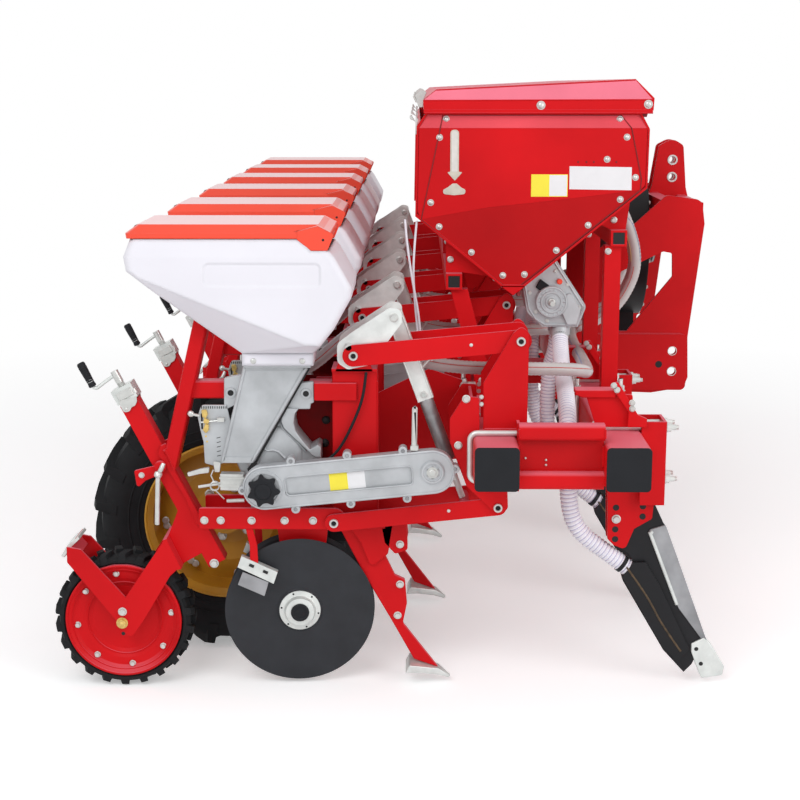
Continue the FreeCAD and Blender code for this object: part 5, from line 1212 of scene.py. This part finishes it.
# folded sheets on both ends; each corner stands its own way out from the skin
def endSheets(outline, proud):
    skin, count = tankSetup["skin"], len(outline)
    faces = [tuple(range(count)), tuple(reversed(range(count, 2 * count)))]
    faces += [(k, (k + 1) % count, count + (k + 1) % count, count + k) for k in range(count)]
    return [([(x, way * (skin + out), z) for (x, z), out in zip(outline, proud)]
             + [(x, way * (skin - 0.0005), z) for x, z in outline], faces) for way in sides]


def addTank():
    setup = tankSetup
    fold, line, crease = setup["fold"], setup["foldLine"], setup["crease"]
    upper = [(0.006, line), (0.002, 1.33), *crease, (0.69, 1.41), (0.692, line)]
    lower = [crease[0], (0.2925, 1.0815), *crease[:0:-1]]
    band = [(0.03, 1.6185), (0.006, line), (0.692, line), (0.668, 1.6185)]
    makePiece("tank_end_sheets", endSheets(upper, [fold] * 8), "frameRed")
    # lower part of each end sheet painted darker red, painted shade where the sheet folds in and faces down
    makePiece("tank_end_shaded_folds", endSheets(lower, [fold, 0.0015, fold, fold, fold]), "shadedRed")
    # the top band of each end sheet is painted paler red, a painted highlight where the fold faces the sky
    makePiece("tank_end_lit_bands", endSheets(band, [0.0005, fold, fold, 0.0005]), "litRed")
    # rim under the lid's edge, painted dark red as the shade in the gap below the lid
    rim = [(0.04, 1.612), (0.69, 1.612), (0.696, 1.632), (0.03, 1.632)]
    makePiece("tank_rim_shades", platePair(rim, 1.284, 0.002, 0.0), "seamShade")
    keel = [(0.257, 1.103), (0.335, 1.103), (0.296, 1.073, 0.003)]
    makePiece("tank_keel", slab(keel, -1.3, 1.3, 0.001), "frameRed")
    seams = [swept([(x, way * (skinAt(x, z) + 0.0002), z) for x, z in setup["panel"]], 0.002, 6, False)
             for way in sides]
    seams += [paired(turned, x, 1.479, skinAt(x, 1.479), [(0.0, 0.0032), (0.0008, 0.0028)], 12)
              for x in (0.486, 0.511, 0.533, 0.601)]
    makePiece("tank_seams", seams, "seamShade")
    bolts = []
    for x, z in setup["bolts"]:
        bolts += [paired(domeBolt, x, z, skinAt(x, z) - 0.001, 0.0088, 0.0064),
                  paired(turned, x, z, skinAt(x, z) - 0.001, [(0.0, 0.0104), (0.0018, 0.01)], 20)]
    makePiece("tank_bolts", bolts, "boltZinc")
    # level window and mark, blank labels
    for name, finish, proud, ease, outlines in setup["plates"]:
        parts = []
        for outline in outlines:
            level = max(skinAt(x, z) for x, z, *_ in outline) + proud
            parts.append(platePair(outline, level - 0.002, 0.002, ease))
        makePiece(name, parts, finish)
    print("tank ends")


# lid: catches at the rear, seam bolts, stiffening folds; rides on the lid
tankLidSetup = {
    "half": 1.312, "bolts": [(0.37, 1.647), (0.69, 1.65)],
    "folds": [((0.0575, 1.6915), (0.649, 1.721), 0.0022), ((0.0185, 1.6615), (0.7035, 1.664), 0.002),
              ((0.02, 1.6245), (0.7045, 1.6245), 0.0022)],
    "gable": [(0.02, 1.6625), (0.0585, 1.6925), (0.649, 1.7215), (0.702, 1.6645)],
    "catches": (-1.255, -0.42, 0.42, 1.255),
    "catch": [(-0.006, 1.676, 0.004), (0.004, 1.64, 0.004), (0.0175, 1.64, 0.002), (0.022, 1.668, 0.004),
              (0.03, 1.686, 0.004), (0.012, 1.69, 0.006)],
    "keepers": [([(-0.008, 1.6, 0.002), (-0.022, 1.606, 0.004), (-0.022, 1.618, 0.004), (-0.016, 1.618, 0.002),
                  (-0.014, 1.611, 0.002), (0.002, 1.59)], 0.017, 0.001),
                ([(-0.0045, 1.612, 0.002), (-0.0055, 1.56, 0.002), (-0.0015, 1.56), (0.001, 1.59),
                  (0.004, 1.606)], 0.022, 0.0006)],
    "hinge": (0.712, 1.64), "hinges": (-1.05, -0.35, 0.35, 1.05),
    "strap": [(0.709, 1.643), (0.715, 1.643), (0.715, 1.596, 0.01), (0.704, 1.554, 0.01), (0.704, 1.53),
              (0.699, 1.53), (0.699, 1.576, 0.01), (0.709, 1.6, 0.01)],
}


def addTankLid():
    setup = tankLidSetup
    body, half = "fertilizer_lid", setup["half"]
    bolts = []
    for x, z in setup["bolts"]:
        bolts += [paired(domeBolt, x, z, half, 0.0112, 0.007),
                  paired(turned, x, z, half, [(0.0, 0.0135), (0.0016, 0.013)], 20)]
    makePiece("tank_lid_bolts", bolts, "boltZinc", body)
    folds = [swept([(x0, way * half, z0), (x1, way * half, z1)], radius, 8)
             for (x0, z0), (x1, z1), radius in setup["folds"] for way in sides]
    folds += [swept([(0.062, y, 1.692), (0.646, y, 1.7205)], 0.0032, 8) for y in (-0.65, 0.0, 0.65)]
    makePiece("tank_lid_folds", folds, "frameRed", body)
    # the lid's end gables are painted paler red as a painted highlight
    makePiece("tank_lid_gables", platePair(setup["gable"], half, 0.001, 0.0004), "paleLitRed", body)
    skirt = box(0.0195, 0.7045, 1.624, 1.635)
    makePiece("tank_lid_skirts", platePair(skirt, half, 0.001, 0.0004), "frameRed", body)
    catches, keepers = [], []
    for y in setup["catches"]:
        loop = [(-0.001, -0.017, 1.655), (-0.01, -0.017, 1.672), (-0.01, 0.017, 1.672), (-0.001, 0.017, 1.655)]
        catches += [slab(setup["catch"], y - 0.02, y + 0.02, 0.0012),
                    swept([(x, y + across, z) for x, across, z in loop], 0.003, 8)]
        keepers += [slab(outline, y - wide, y + wide, ease) for outline, wide, ease in setup["keepers"]]
    makePiece("tank_lid_catches", catches, "boltZinc", body)
    # hinges along the front: barrels and leaf turn with the lid, pin and bent strap stay on the hopper
    (x, z), turning, staying = setup["hinge"], [], []
    for y in setup["hinges"]:
        turning += [swept([(x, y + way * 0.017, z), (x, y + way * 0.05, z)], 0.0075, 14) for way in sides]
        turning.append(slab(box(x - 0.004, x - 0.0012, z, z + 0.024), y - 0.05, y + 0.05, 0.0004))
        staying += [swept([(x, y - 0.055, z), (x, y + 0.055, z)], 0.0036, 10),
                    slab(setup["strap"], y - 0.014, y + 0.014, 0.0006)]
    makePiece("tank_lid_hinges", turning, "frameRed", body)
    makePiece("tank_hinge_straps", staying, "frameRed")
    makePiece("tank_keepers", keepers, "zincPlate")
    ribs = []
    for y in (-0.86, -0.43, 0.0, 0.43, 0.86):
        ribs += [swept([(-0.005, y, 1.33), (-0.001, y, 1.575)], 0.0042, 8),
                 swept([(0.698, y, 1.412), (0.699, y, 1.57)], 0.0042, 8)]
    makePiece("tank_ribs", ribs, "frameRed")
    print("tank lid")


# dosing meters under the hopper: ribbed wheel, red knob, slide and outlet rings
dosingSetup = {
    "places": (-1.15, 0.0, 1.15), "wheel": (0.42, 1.045),
    "face": [(0.0, 0.0495), (0.004, 0.048), (0.0045, 0.044), (0.002, 0.0425), (0.002, 0.0355), (0.0055, 0.034),
             (0.0055, 0.028), (0.003, 0.0265), (0.003, 0.0205), (0.007, 0.0195), (0.0075, 0.013)],
    "bolts": [(0.352, 1.072), (0.372, 1.012), (0.408, 0.984), (0.492, 0.984), (0.508, 1.026), (0.47, 1.098),
              (0.432, 1.14)],
    "rim": [(0.337, 1.094), (0.352, 1.02), (0.372, 0.99), (0.4, 0.9715), (0.5, 0.9715), (0.52, 1.028),
            (0.428, 1.168)],
    "ear": [(0.452, 1.01, 0.006), (0.47, 0.972, 0.004), (0.5, 0.972, 0.004), (0.512, 1.018, 0.01),
            (0.478, 1.078, 0.01), (0.462, 1.06, 0.008)],
    "slide": [(0.384, 1.116, 0.003), (0.37, 1.09, 0.003), (0.398, 1.07, 0.003), (0.412, 1.096, 0.003)],
    "outlet": [(-0.03, 0.0275), (-0.03, 0.0315), (-0.002, 0.0315), (0.004, 0.029), (0.004, 0.0)],
    "clamp": [(-0.005, 0.0262), (-0.005, 0.0278), (0.005, 0.0278), (0.005, 0.0262)],
}


def addDosingMeters():
    setup = dosingSetup
    cast, dark, red, plated = [], [], [], []
    x, z = setup["wheel"]
    for place in setup["places"]:
        for way in sides:
            axis, y, outlet = (0, way, 0), place + way * 0.09, place + way * 0.042
            side = place + way * 0.075
            cast.append(spun((x, y, z), axis, setup["face"], 44))
            hub = (x, y + way * 0.0022, z)
            spokes = [2.0 * math.pi * step / 18 for step in range(18)]
            cast += [swept([onWheel(hub, a, 0.0355), onWheel(hub, a, 0.0425)], 0.0016, 6) for a in spokes]
            cast += [swept([(px, side + way * 0.001, pz) for px, pz in setup["rim"]], 0.0034, 8),
                     slab(setup["ear"], side, side + way * 0.012, 0.002),
                     spun((0.452, outlet, 0.966), (0, 0, 1), setup["outlet"], 26)]
            dark.append(slab(setup["slide"], side, side + way * 0.012, 0.0015))
            knob = [(0.0, 0.0095), (0.012, 0.0088), (0.014, 0.006)]
            red.append(turned((0.444, side, 1.108), axis, knob, 18))
            plated += [hexBolt((bx, side, bz), axis, 0.0055, 0.005) for bx, bz in setup["bolts"]]
            plated += [hexBolt((x, y + way * 0.006, z), axis, 0.0095, 0.01),
                       spun((0.452, outlet, 0.93), (0, 0, 1), setup["clamp"], 26),
                       swept([(x, place + way * 0.094, z), (x, place + way * 0.13, z)], 0.008, 12)]
    makePiece("dosing_castings", cast, "castAluminium")
    makePiece("dosing_slides", dark, "capPlastic")
    makePiece("dosing_handles", red, "lidPlastic")
    makePiece("dosing_bolts", plated, "boltZinc")
    # drive shaft that turns the three dosing meters
    shafts = [swept([(x, way * 0.13, z), (x, way * 1.02, z)], 0.0095, 6) for way in sides]
    makePiece("dosing_shaft", shafts, "zincPlate")
    print("dosing meters")


# hoses: white corrugated ones to the openers, clear ribbed ones from the fan to the seed meters
hoseSetup = {"white": 0.0255, "whitePitch": 0.0116, "clear": 0.02, "clearPitch": 0.0125,
             "stripes": {"stripeRed": 0.4, "stripeBlue": 2.3, "stripeYellow": 4.2}}


def addWhiteHoses():
    radius = hoseSetup["white"]
    hoses, marks, bands = [], [], []
    for row, place in enumerate(rowPlaces):
        outlet = dosingSetup["places"][row // 2] + (-0.042 if row % 2 == 0 else 0.042)
        route = [(0.452, outlet, 0.964), (0.452, outlet, 0.88), (0.43, place, 0.8), (0.43, place, 0.56),
                 (0.455, place, 0.462), (0.54, place, 0.398), (0.606, place, 0.35)]
        line = evenLine(softLine(route, 0.004), hoseSetup["whitePitch"] / 4.0)
        hoses.append(swept(line, [radius - (0.0022 if k % 4 in (0, 1) else 0.0) for k in range(len(line))], 20))
        # one ring of faces in every four, in the grooves, takes the painted groove shade
        marks += [1 if k % 4 == 0 else 0 for k in range(len(line) - 1) for face in range(20)] + [0, 0]
        bands += [swept([here, there], radius + 0.0012, 22) for here, there in ((line[6], line[10]),
                                                                                (line[-10], line[-6]))]
    makePiece("hose_bands", bands, "capPlastic")
    hose = makePiece("opener_hoses", hoses, "hoseWhite", smooth=60.0, marks=marks, second="hoseGrooveShade")
    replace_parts(hose, "fertilizer_hoses")


def airRoute(row):
    place = rowPlaces[row]
    side = 1.0 if place > 0.0 else -1.0
    rank = row - 3 if side > 0.0 else 2 - row
    startZ, lane = 1.238 + 0.046 * rank, place + 0.13
    dropY = -0.33 if row == 2 else side * (0.48 + 0.05 * rank)
    route = [(0.7, side * 0.23, startZ), (0.7, dropY, startZ), (0.788, dropY, 1.11), (0.735, dropY, 0.96)]
    if row == 4:
        route += [(0.62, dropY, 0.905), (0.52, dropY + 0.04, 0.905), (0.52, place - 0.12, 0.905),
                  (0.47, place - 0.005, 0.905), (0.4, place - 0.005, 0.905), (0.335, lane, 0.905)]
    elif rank == 1:
        route += [(0.62, dropY, 0.905), (0.52, dropY + side * 0.04, 0.905), (0.52, lane - side * 0.11, 0.905),
                  (0.45, lane, 0.905)]
    elif rank == 2:
        route += [(0.64, dropY, 0.88), (0.52, dropY + side * 0.04, 0.862), (0.52, lane - side * 0.15, 0.862),
                  (0.47, lane, 0.905)]
    else:
        route += [(0.66, dropY, 0.905), (0.545, lane, 0.905)]
    return route + [(0.06, lane, 0.905), (-0.06, lane, 0.965), (-0.148, lane, 1.04), (-0.225, lane, 0.98),
                    (-0.3, place + 0.112, 0.915), (-0.357, place + 0.097, 0.9), (-0.357, place + 0.097, 0.843)]


# thin coloured line along the outside of a hose
def stripe(line, turn):
    spots = []
    for a, b in zip(line, line[1:]):
        way = (b - a).normalized()
        level = Vector((0, 0, 1)).cross(way)
        level = level.normalized() if level.length > 0.05 else Vector((0, 1, 0))
        c, s = circle(turn)
        spots.append(a + (level * c + way.cross(level).normalized() * s) * (hoseSetup["clear"] - 0.0006))
    return swept(spots, 0.0013, 5)


def addAirHoses():
    turns = hoseSetup["stripes"]
    stripes = {name: [] for name in turns}
    for row in range(len(rowPlaces)):
        line = evenLine(softLine(airRoute(row), 0.01), hoseSetup["clearPitch"] / 2.0)
        radii = [hoseSetup["clear"] - (0.0012 if k % 2 else 0.0) for k in range(len(line))]
        hose = makePiece(f"air_hose_{row + 1}", swept(line, radii, 14), "hoseClear", smooth=60.0)
        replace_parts(hose, "air_hoses")
        for name, turn in turns.items():
            stripes[name].append(stripe(line[::3] + [line[-1]], turn))
    for name, parts in stripes.items():
        makePiece("air_hose_" + name, parts, name)
    print("hoses")


addTank()
addTankLid()
addDosingMeters()
addWhiteHoses()
addAirHoses()
print("fertilizer line")


# U-bolts: hexagon nuts and washers on the four tails of each one; x, half width and the two levels
uBoltSetup = {"rear": (0.284, 0.112, (0.769, 0.633)), "front": (0.698, 0.034, (0.769, 0.621))}


def addUBolts():
    parts, axis = [], (1, 0, 0)
    for x, half, levels in uBoltSetup.values():
        for y, z in ((way * half, level) for way in sides for level in levels):
            parts += [turned((x, y, z), axis, [(0.0, 0.015), (0.0035, 0.015)], 24),
                      turned((x, y, z), axis, [(0.003, 0.0118), (0.013, 0.0118), (0.015, 0.0098)], 6, 0.4),
                      ridged((x + 0.013, y, z), (x + 0.0354, y, z), 16, 0.0068, 0.0061, 14)]
    rowPiece("u_bolt_nuts", parts, "boltZinc")
    print("U-bolts")


# stand: foot plates strapped to the toolbars, dark open tube ends, bolts for the stays at the near posts
standSetup = {"places": (-1.24, -0.7, 0.7, 1.24), "beams": ((0.508, 0.628), (0.156, 0.276)),
              "rails": ((0.618, 1.247), (0.115, 1.113)), "railHalf": 1.28, "tube": 0.0175,
              "nut": [(0.0, 0.0155), (0.003, 0.0155), (0.003, 0.0124), (0.016, 0.0124), (0.018, 0.0105)],
              "edges": [(-0.0215, 0.0, 0.0035, 0.025), (0.0215, 0.0, 0.0035, 0.025),
                        (0.0, -0.0215, 0.018, 0.0035), (0.0, 0.0215, 0.018, 0.0035)]}


def addStand():
    setup = standSetup
    tube = setup["tube"]
    plated, red, dark = [], [], []
    for place in setup["places"]:
        for low, high in setup["beams"]:
            foot = box(low - 0.02, high + 0.02, 0.7615, 0.773, 0.002)
            red.append(slab(foot, place - 0.058, place + 0.058, 0.001))
            back, front = low - 0.0075, high + 0.0075
            for y in (place - 0.045, place + 0.045):
                strap = [(back, y, 0.812), (back, y, 0.645), (low + 0.004, y, 0.6335),
                         (high - 0.004, y, 0.6335), (front, y, 0.645), (front, y, 0.812)]
                plated.append(swept(strap, 0.0068, 12))
                for x in (back, front):
                    plated += [turned((x, y, 0.773), (0, 0, 1), setup["nut"], 6, 0.2),
                               ridged((x, y, 0.788), (x, y, 0.812), 15, 0.0074, 0.0067, 10)]
        plated += [hexBolt((x, place + way * 0.003, z), (0, way, 0), 0.0085, 0.007)
                   for x, z in ((0.606, 1.3), (0.104, 1.178)) for way in sides]
        plated += [hexBolt((x, place - 0.025, z), (0, -1, 0), 0.0085, 0.007)
                   for x, z in ((0.588, 1.206), (0.203, 0.8))]
    for x, z in setup["rails"]:
        for way in sides:
            y = way * setup["railHalf"]
            dark.append(slab(box(x - tube, x + tube, z - tube, z + tube, 0.002), y, y + way * 0.0006))
            for dx, dz, wide, tall in setup["edges"]:
                edge = box(x + dx - wide, x + dx + wide, z + dz - tall, z + dz + tall)
                red.append(slab(edge, y, y + way * 0.0025, 0.0008))
    makePiece("stand_feet", red, "frameRed")
    makePiece("stand_clamps", plated, "boltZinc")
    makePiece("stand_tube_ends", dark, "deepShade")
    print("stand")


# toolbars: two square beams, cross tubes, and end frames of two round-edged rails with a web between
beamSetup = {"places": (0.216, 0.568), "half": 0.06, "low": 0.641, "reach": 2.0, "tubes": (-0.56, 0.56),
             "rails": ((0.633, 0.68), (0.769, 0.813)), "web": (0.65, 0.79)}


# bar along the machine, from one toolbar to the other
def crossBar(near, far, low, high, corner):
    back, front = beamSetup["places"]
    half = beamSetup["half"]
    points, faces = slab(box(*sorted((near, far)), low, high, corner), back + half, front - half)
    return [(x, y, z) for y, x, z in points], faces


def addToolbars():
    half, low, reach = beamSetup["half"], beamSetup["low"], beamSetup["reach"]
    parts = [slab(box(x - half, x + half, low, low + 2 * half, 0.012), -reach, reach)
             for x in beamSetup["places"]]
    parts += [crossBar(y - 0.04, y + 0.04, low + 0.02, low + 0.1, 0.006) for y in beamSetup["tubes"]]
    parts += [crossBar(way * 1.96, way * 1.91, *rail, 0.013) for rail in beamSetup["rails"] for way in sides]
    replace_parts(makePiece("toolbar_beams", parts, "frameRed"), "toolbars")
    # the recessed webs between the rails are painted darker red as painted shade
    webs = [crossBar(way * 1.93, way * 1.922, *beamSetup["web"], 0.001) for way in sides]
    makePiece("end_frame_shaded_webs", webs, "shadedRed")


# weld beads on the end frames and beside each row: start and end in x and z, half way out and radius
weldSetup = {
    "ends": [((x, z0), (x, z1), 1.96, 0.003)
             for x in (0.2765, 0.5075) for z0, z1 in ((0.645, 0.672), (0.777, 0.802))],
    "webs": [((x, 0.692), (x, 0.75), 1.932, 0.003) for x in (0.2775, 0.5065)],
    "rows": [((0.156, 0.645), (0.156, 0.758), 0.0985, 0.0026),
             ((0.188, 0.7745), (0.302, 0.7745), 0.0855, 0.003),
             ((0.6285, 0.645), (0.6285, 0.757), 0.053, 0.0028),
             ((0.56, 0.6285), (0.684, 0.6285), 0.0225, 0.0024)],
}


def beadPairs(beads, middle=0.0):
    return [beadAlong((x0, middle + way * half, z0), (x1, middle + way * half, z1), radius)
            for (x0, z0), (x1, z1), half, radius in beads for way in sides]


# flat stay and channel piece beside each opener clamp: outlines, their two faces and eased edge, bolt places
staySetup = {
    "plates": {
        "stay": ([(0.534, 0.897, 0.006), (0.556, 0.905, 0.006), (0.614, 0.812, 0.006), (0.64, 0.8, 0.002),
                  (0.64, 0.776, 0.002), (0.586, 0.776, 0.002), (0.588, 0.818, 0.004)], -0.066, -0.058, 0.001),
        "channel": ([(0.44, 0.88, 0.004), (0.552, 0.88, 0.004), (0.552, 0.858, 0.004), (0.46, 0.858, 0.004),
                     (0.44, 0.866, 0.004)], -0.06, -0.01, 0.002),
        "web": ([(0.47, 0.866, 0.002), (0.6, 0.866, 0.006), (0.606, 0.773, 0.002),
                 (0.5, 0.773, 0.002)], -0.05, -0.044, 0.001),
    },
    "bolts": [(0.545, 0.894), (0.554, 0.882), (0.597, 0.846), (0.598, 0.829)],
}


def addToolbarParts():
    beads = beadPairs(weldSetup["ends"] + weldSetup["webs"])
    for place in rowPlaces:
        beads += beadPairs(weldSetup["rows"], place)
    makePiece("weld_beads", beads, "frameRed")
    studs = [paired(domeBolt, x, z, 1.9315, 0.0035, 0.004)
             for x, z in ((0.296, 0.716), (0.352, 0.697), (0.352, 0.711))]
    makePiece("end_frame_studs", studs, "boltZinc")
    rowPiece("clamp_stays", [slab(*plate) for plate in staySetup["plates"].values()], "frameRed")
    bolts = [hexBolt((x, -0.066, z), (0, -1, 0), 0.0075, 0.007) for x, z in staySetup["bolts"]]
    rowPiece("clamp_stay_bolts", bolts, "boltZinc")
    print("toolbars")


# fertilizer opener: pin bolts in the cheeks, rolled edge of the shin, worn seam, holes in the point
openerSetup = {"face": 0.0185, "cheek": 0.022,
               "seam": [(0.602, 0.357), (0.643, 0.3), (0.677, 0.246), (0.706, 0.188), (0.765, 0.104)],
               "holes": [(0.567, 0.5325), (0.5665, 0.4685), (0.567, 0.4395), (0.643, 0.5365), (0.643, 0.5065)]}


def addOpeners():
    face, cheek = openerSetup["face"], openerSetup["cheek"]
    zinc = [swept([(0.6655, way * (face - 0.002), 0.46), (0.7505, way * (face - 0.002), 0.243)], 0.0052, 10)
            for way in sides]
    zinc.append(paired(turned, 0.671, 0.459, face, [(0.0, 0.005), (0.003, 0.004)], 12))
    rowPiece("shin_edges", zinc, "zincPlate")
    seams = []
    for way in sides:
        line = softLine([(x, way * 0.0262, z) for x, z in openerSetup["seam"]], 0.008)
        seams.append(swept(line, [0.0032 if k % 2 else 0.0026 for k in range(len(line))], 8))
    rowPiece("opener_seams", seams, "soilBead")
    holes = [paired(turned, *spot, 0.0205, [(0.0, 0.0062), (0.0008, 0.0056)], 18)
             for spot in ((0.811, 0.109), (0.826, 0.064))]
    rowPiece("point_holes", holes, "deepShade")
    holes = [paired(turned, *spot, cheek, [(0.0, 0.0092), (0.0006, 0.0088)], 20)
             for spot in openerSetup["holes"]]
    rowPiece("cheek_holes", holes, "deepShade")
    rowPiece("opener_pins", [boltsAt([(0.5685, 0.499)], cheek, 0.0108, 0.01)], "boltZinc")
    print("openers")


# hitch: bushes, welded edges and the mast's pin bosses
hitchSetup = {"half": 0.41, "links": ((0.938, 0.75), (0.938, 0.674)), "mast": ((0.978, 1.36), (0.978, 1.425)),
              "mastFaces": ((-0.042, -1), (0.042, 1), (-0.03, 1), (0.03, -1))}


def openBush(x, y, z, way, bore, ring, proud):
    return spun((x, y, z), (0, way, 0), [(-0.001, ring), (proud * 0.7, ring), (proud, ring * 0.96),
                                         (proud, bore * 1.06), (proud * 0.6, bore), (-0.008, bore)], 32)


def addHitch():
    half = hitchSetup["half"]
    plated = [openBush(x, way * (half + 0.016), z, way, 0.0147, 0.017, 0.0012)
              for x, z in hitchSetup["links"] for way in sides]
    plated += [openBush(x, y, z, way, 0.0131, 0.0195, 0.0025)
               for x, z in hitchSetup["mast"] for y, way in hitchSetup["mastFaces"]]
    makePiece("hitch_bushes", plated, "boltZinc")
    upright = ((0.6285, 0.765), (0.6285, 1.095))
    beads = beadPairs([((0.634, 0.8125), (0.968, 0.8125), half + 0.0075, 0.003),
                       ((0.9905, 0.79), (0.9905, 0.628), half + 0.0075, 0.003),
                       (*upright, half + 0.0075, 0.0034), (*upright, half - 0.0075, 0.0034)])
    for y in (0.0435, 0.0285):
        beads += beadPairs([((0.903, 1.3005), (0.928, 1.3005), y, 0.003),
                            ((1.0, 1.2905), (1.031, 1.2905), y, 0.003)])
    makePiece("hitch_beads", beads, "frameRed")
    blind = paired(turned, 0.89, 0.7, 0.426, [(0.0, 0.0128), (0.0005, 0.0124)], 22)
    makePiece("hitch_blind_holes", blind, "deepShade")
    print("hitch")


# fan: flange bolts, cooling ribs, grooved pulley, hose spigots
fanSetup = {"x": 0.795, "z": 1.12, "half": 0.065, "pulley": 0.0915,
            "rings": ((0.2895, 0.004, 0.012), (0.225, 0.005, 0.006), (0.15, 0.006, 0.006))}


def addFan():
    x, z, half, wide, rings = fanSetup.values()
    face = x + half

    def spot(start, angle, radius):
        c, s = circle(angle, radius)
        return start, c, z + s

    cast, bolts = [], []
    for way in sides:
        for reach, proud, thick in rings:
            ring = [(-0.001, reach), (proud, reach - 0.001), (proud, reach - thick), (-0.001, reach - thick)]
            cast.append(spun((x + way * half, 0, z), (way, 0, 0), ring, 64))
        for angle in (2.0 * math.pi * k / 16 + 0.2 for k in range(16)):
            place = spot(x + way * (half + 0.0035), angle, 0.283)
            bolts.append(hexBolt(place, (way, 0, 0), 0.0062, 0.006, 1.3))
    for angle in (2.0 * math.pi * k / 12 for k in range(12)):
        cast.append(swept([spot(face + 0.001, angle, 0.096), spot(face + 0.001, angle, 0.222)], 0.0042, 8))
    makePiece("fan_casting", cast, "blackCoat")
    makePiece("fan_bolts", bolts, "boltZinc")
    pulley = [(0.002, wide - 0.001), (0.004, wide)]
    for start in (0.008 + k * 0.0075 for k in range(6)):
        pulley += [(start, wide), (start + 0.002, wide - 0.005), (start + 0.004, wide - 0.005),
                   (start + 0.006, wide)]
    pulley += [(0.056, wide), (0.0605, wide - 0.0025), (0.0605, 0.062), (0.06, 0.0)]
    makePiece("fan_pulley", spun((face, 0, z), (1, 0, 0), pulley, 48), "bluntSteel")
    nuts = [hexBolt((face + 0.0605, 0, z), (1, 0, 0), 0.016, 0.018)]
    nuts += [hexBolt(spot(face + 0.0605, 2.0 * math.pi * k / 4 + 0.4, 0.042), (1, 0, 0), 0.0075, 0.007)
             for k in range(4)]
    makePiece("fan_pulley_nut", nuts, "boltZinc")
    spigot = [(-0.004, 0.0245), (0.006, 0.0245), (0.008, 0.0225), (0.022, 0.0215), (0.022, 0.0195)]
    band = [(-0.005, 0.02), (-0.005, 0.0228), (0.005, 0.0228), (0.005, 0.02)]
    for name, profile, y, finish in (("fan_spigots", spigot, 0.23, "blackCoat"),
                                     ("fan_bands", band, 0.262, "zincPlate")):
        rows = [paired(spun, 0.7, 1.238 + 0.046 * rank, y, profile, 22) for rank in range(3)]
        makePiece(name, rows, finish)
    print("fan")


# ground wheel carriers: clamp bolts and the axle nut; cords that tie the hoses up
carrierSetup = {
    "clamp": [(-0.115, 0.62), (-0.115, 0.78), (0.105, 0.62), (0.105, 0.78)],
    "side": [(0.06, 0.79), (0.06, 0.64), (-0.05, 0.72)],
    "cords": [
        [(-0.036, -1.29, 1.305), (-0.03, -1.296, 1.23), (-0.012, -1.286, 1.11), (0.01, -1.26, 0.99),
         (0.012, -1.245, 0.93)],
        [(0.0, -1.28, 1.3), (-0.01, -1.28, 1.2), (-0.01, -1.27, 1.08), (0.006, -1.245, 0.93)],
    ],
}


def addCarrierParts():
    bolts, red = [], []
    for place in (-groundSetup["y"], groundSetup["y"]):
        bolts += [hexBolt((0.146, place + y, z), (-1, 0, 0), 0.0125, 0.012) for y, z in carrierSetup["clamp"]]
        bolts += [hexBolt((x, place + 0.132, z), (0, 1, 0), 0.01, 0.01) for x, z in carrierSetup["side"]]
        bolts += [hexBolt((-0.585, place + 0.14, 0.405), (0, 1, 0), 0.018, 0.016),
                  hexBolt((-0.585, place - 0.06, 0.405), (0, -1, 0), 0.016, 0.012)]
        red.append(beadAlong((0.1445, place + 0.1235, 0.605), (0.1445, place + 0.1235, 0.795), 0.0034))
    makePiece("wheel_arm_bolts", bolts, "boltZinc")
    makePiece("wheel_arm_beads", red, "frameRed")
    cords = [swept(softLine(route, 0.02), 0.0034, 8) for route in carrierSetup["cords"]]
    makePiece("tie_cords", cords, "hoseWhite")
    print("carriers")


addToolbars()
addUBolts()
addStand()
addToolbarParts()
addOpeners()
addHitch()
addFan()
addCarrierParts()
print("frame and hitch")
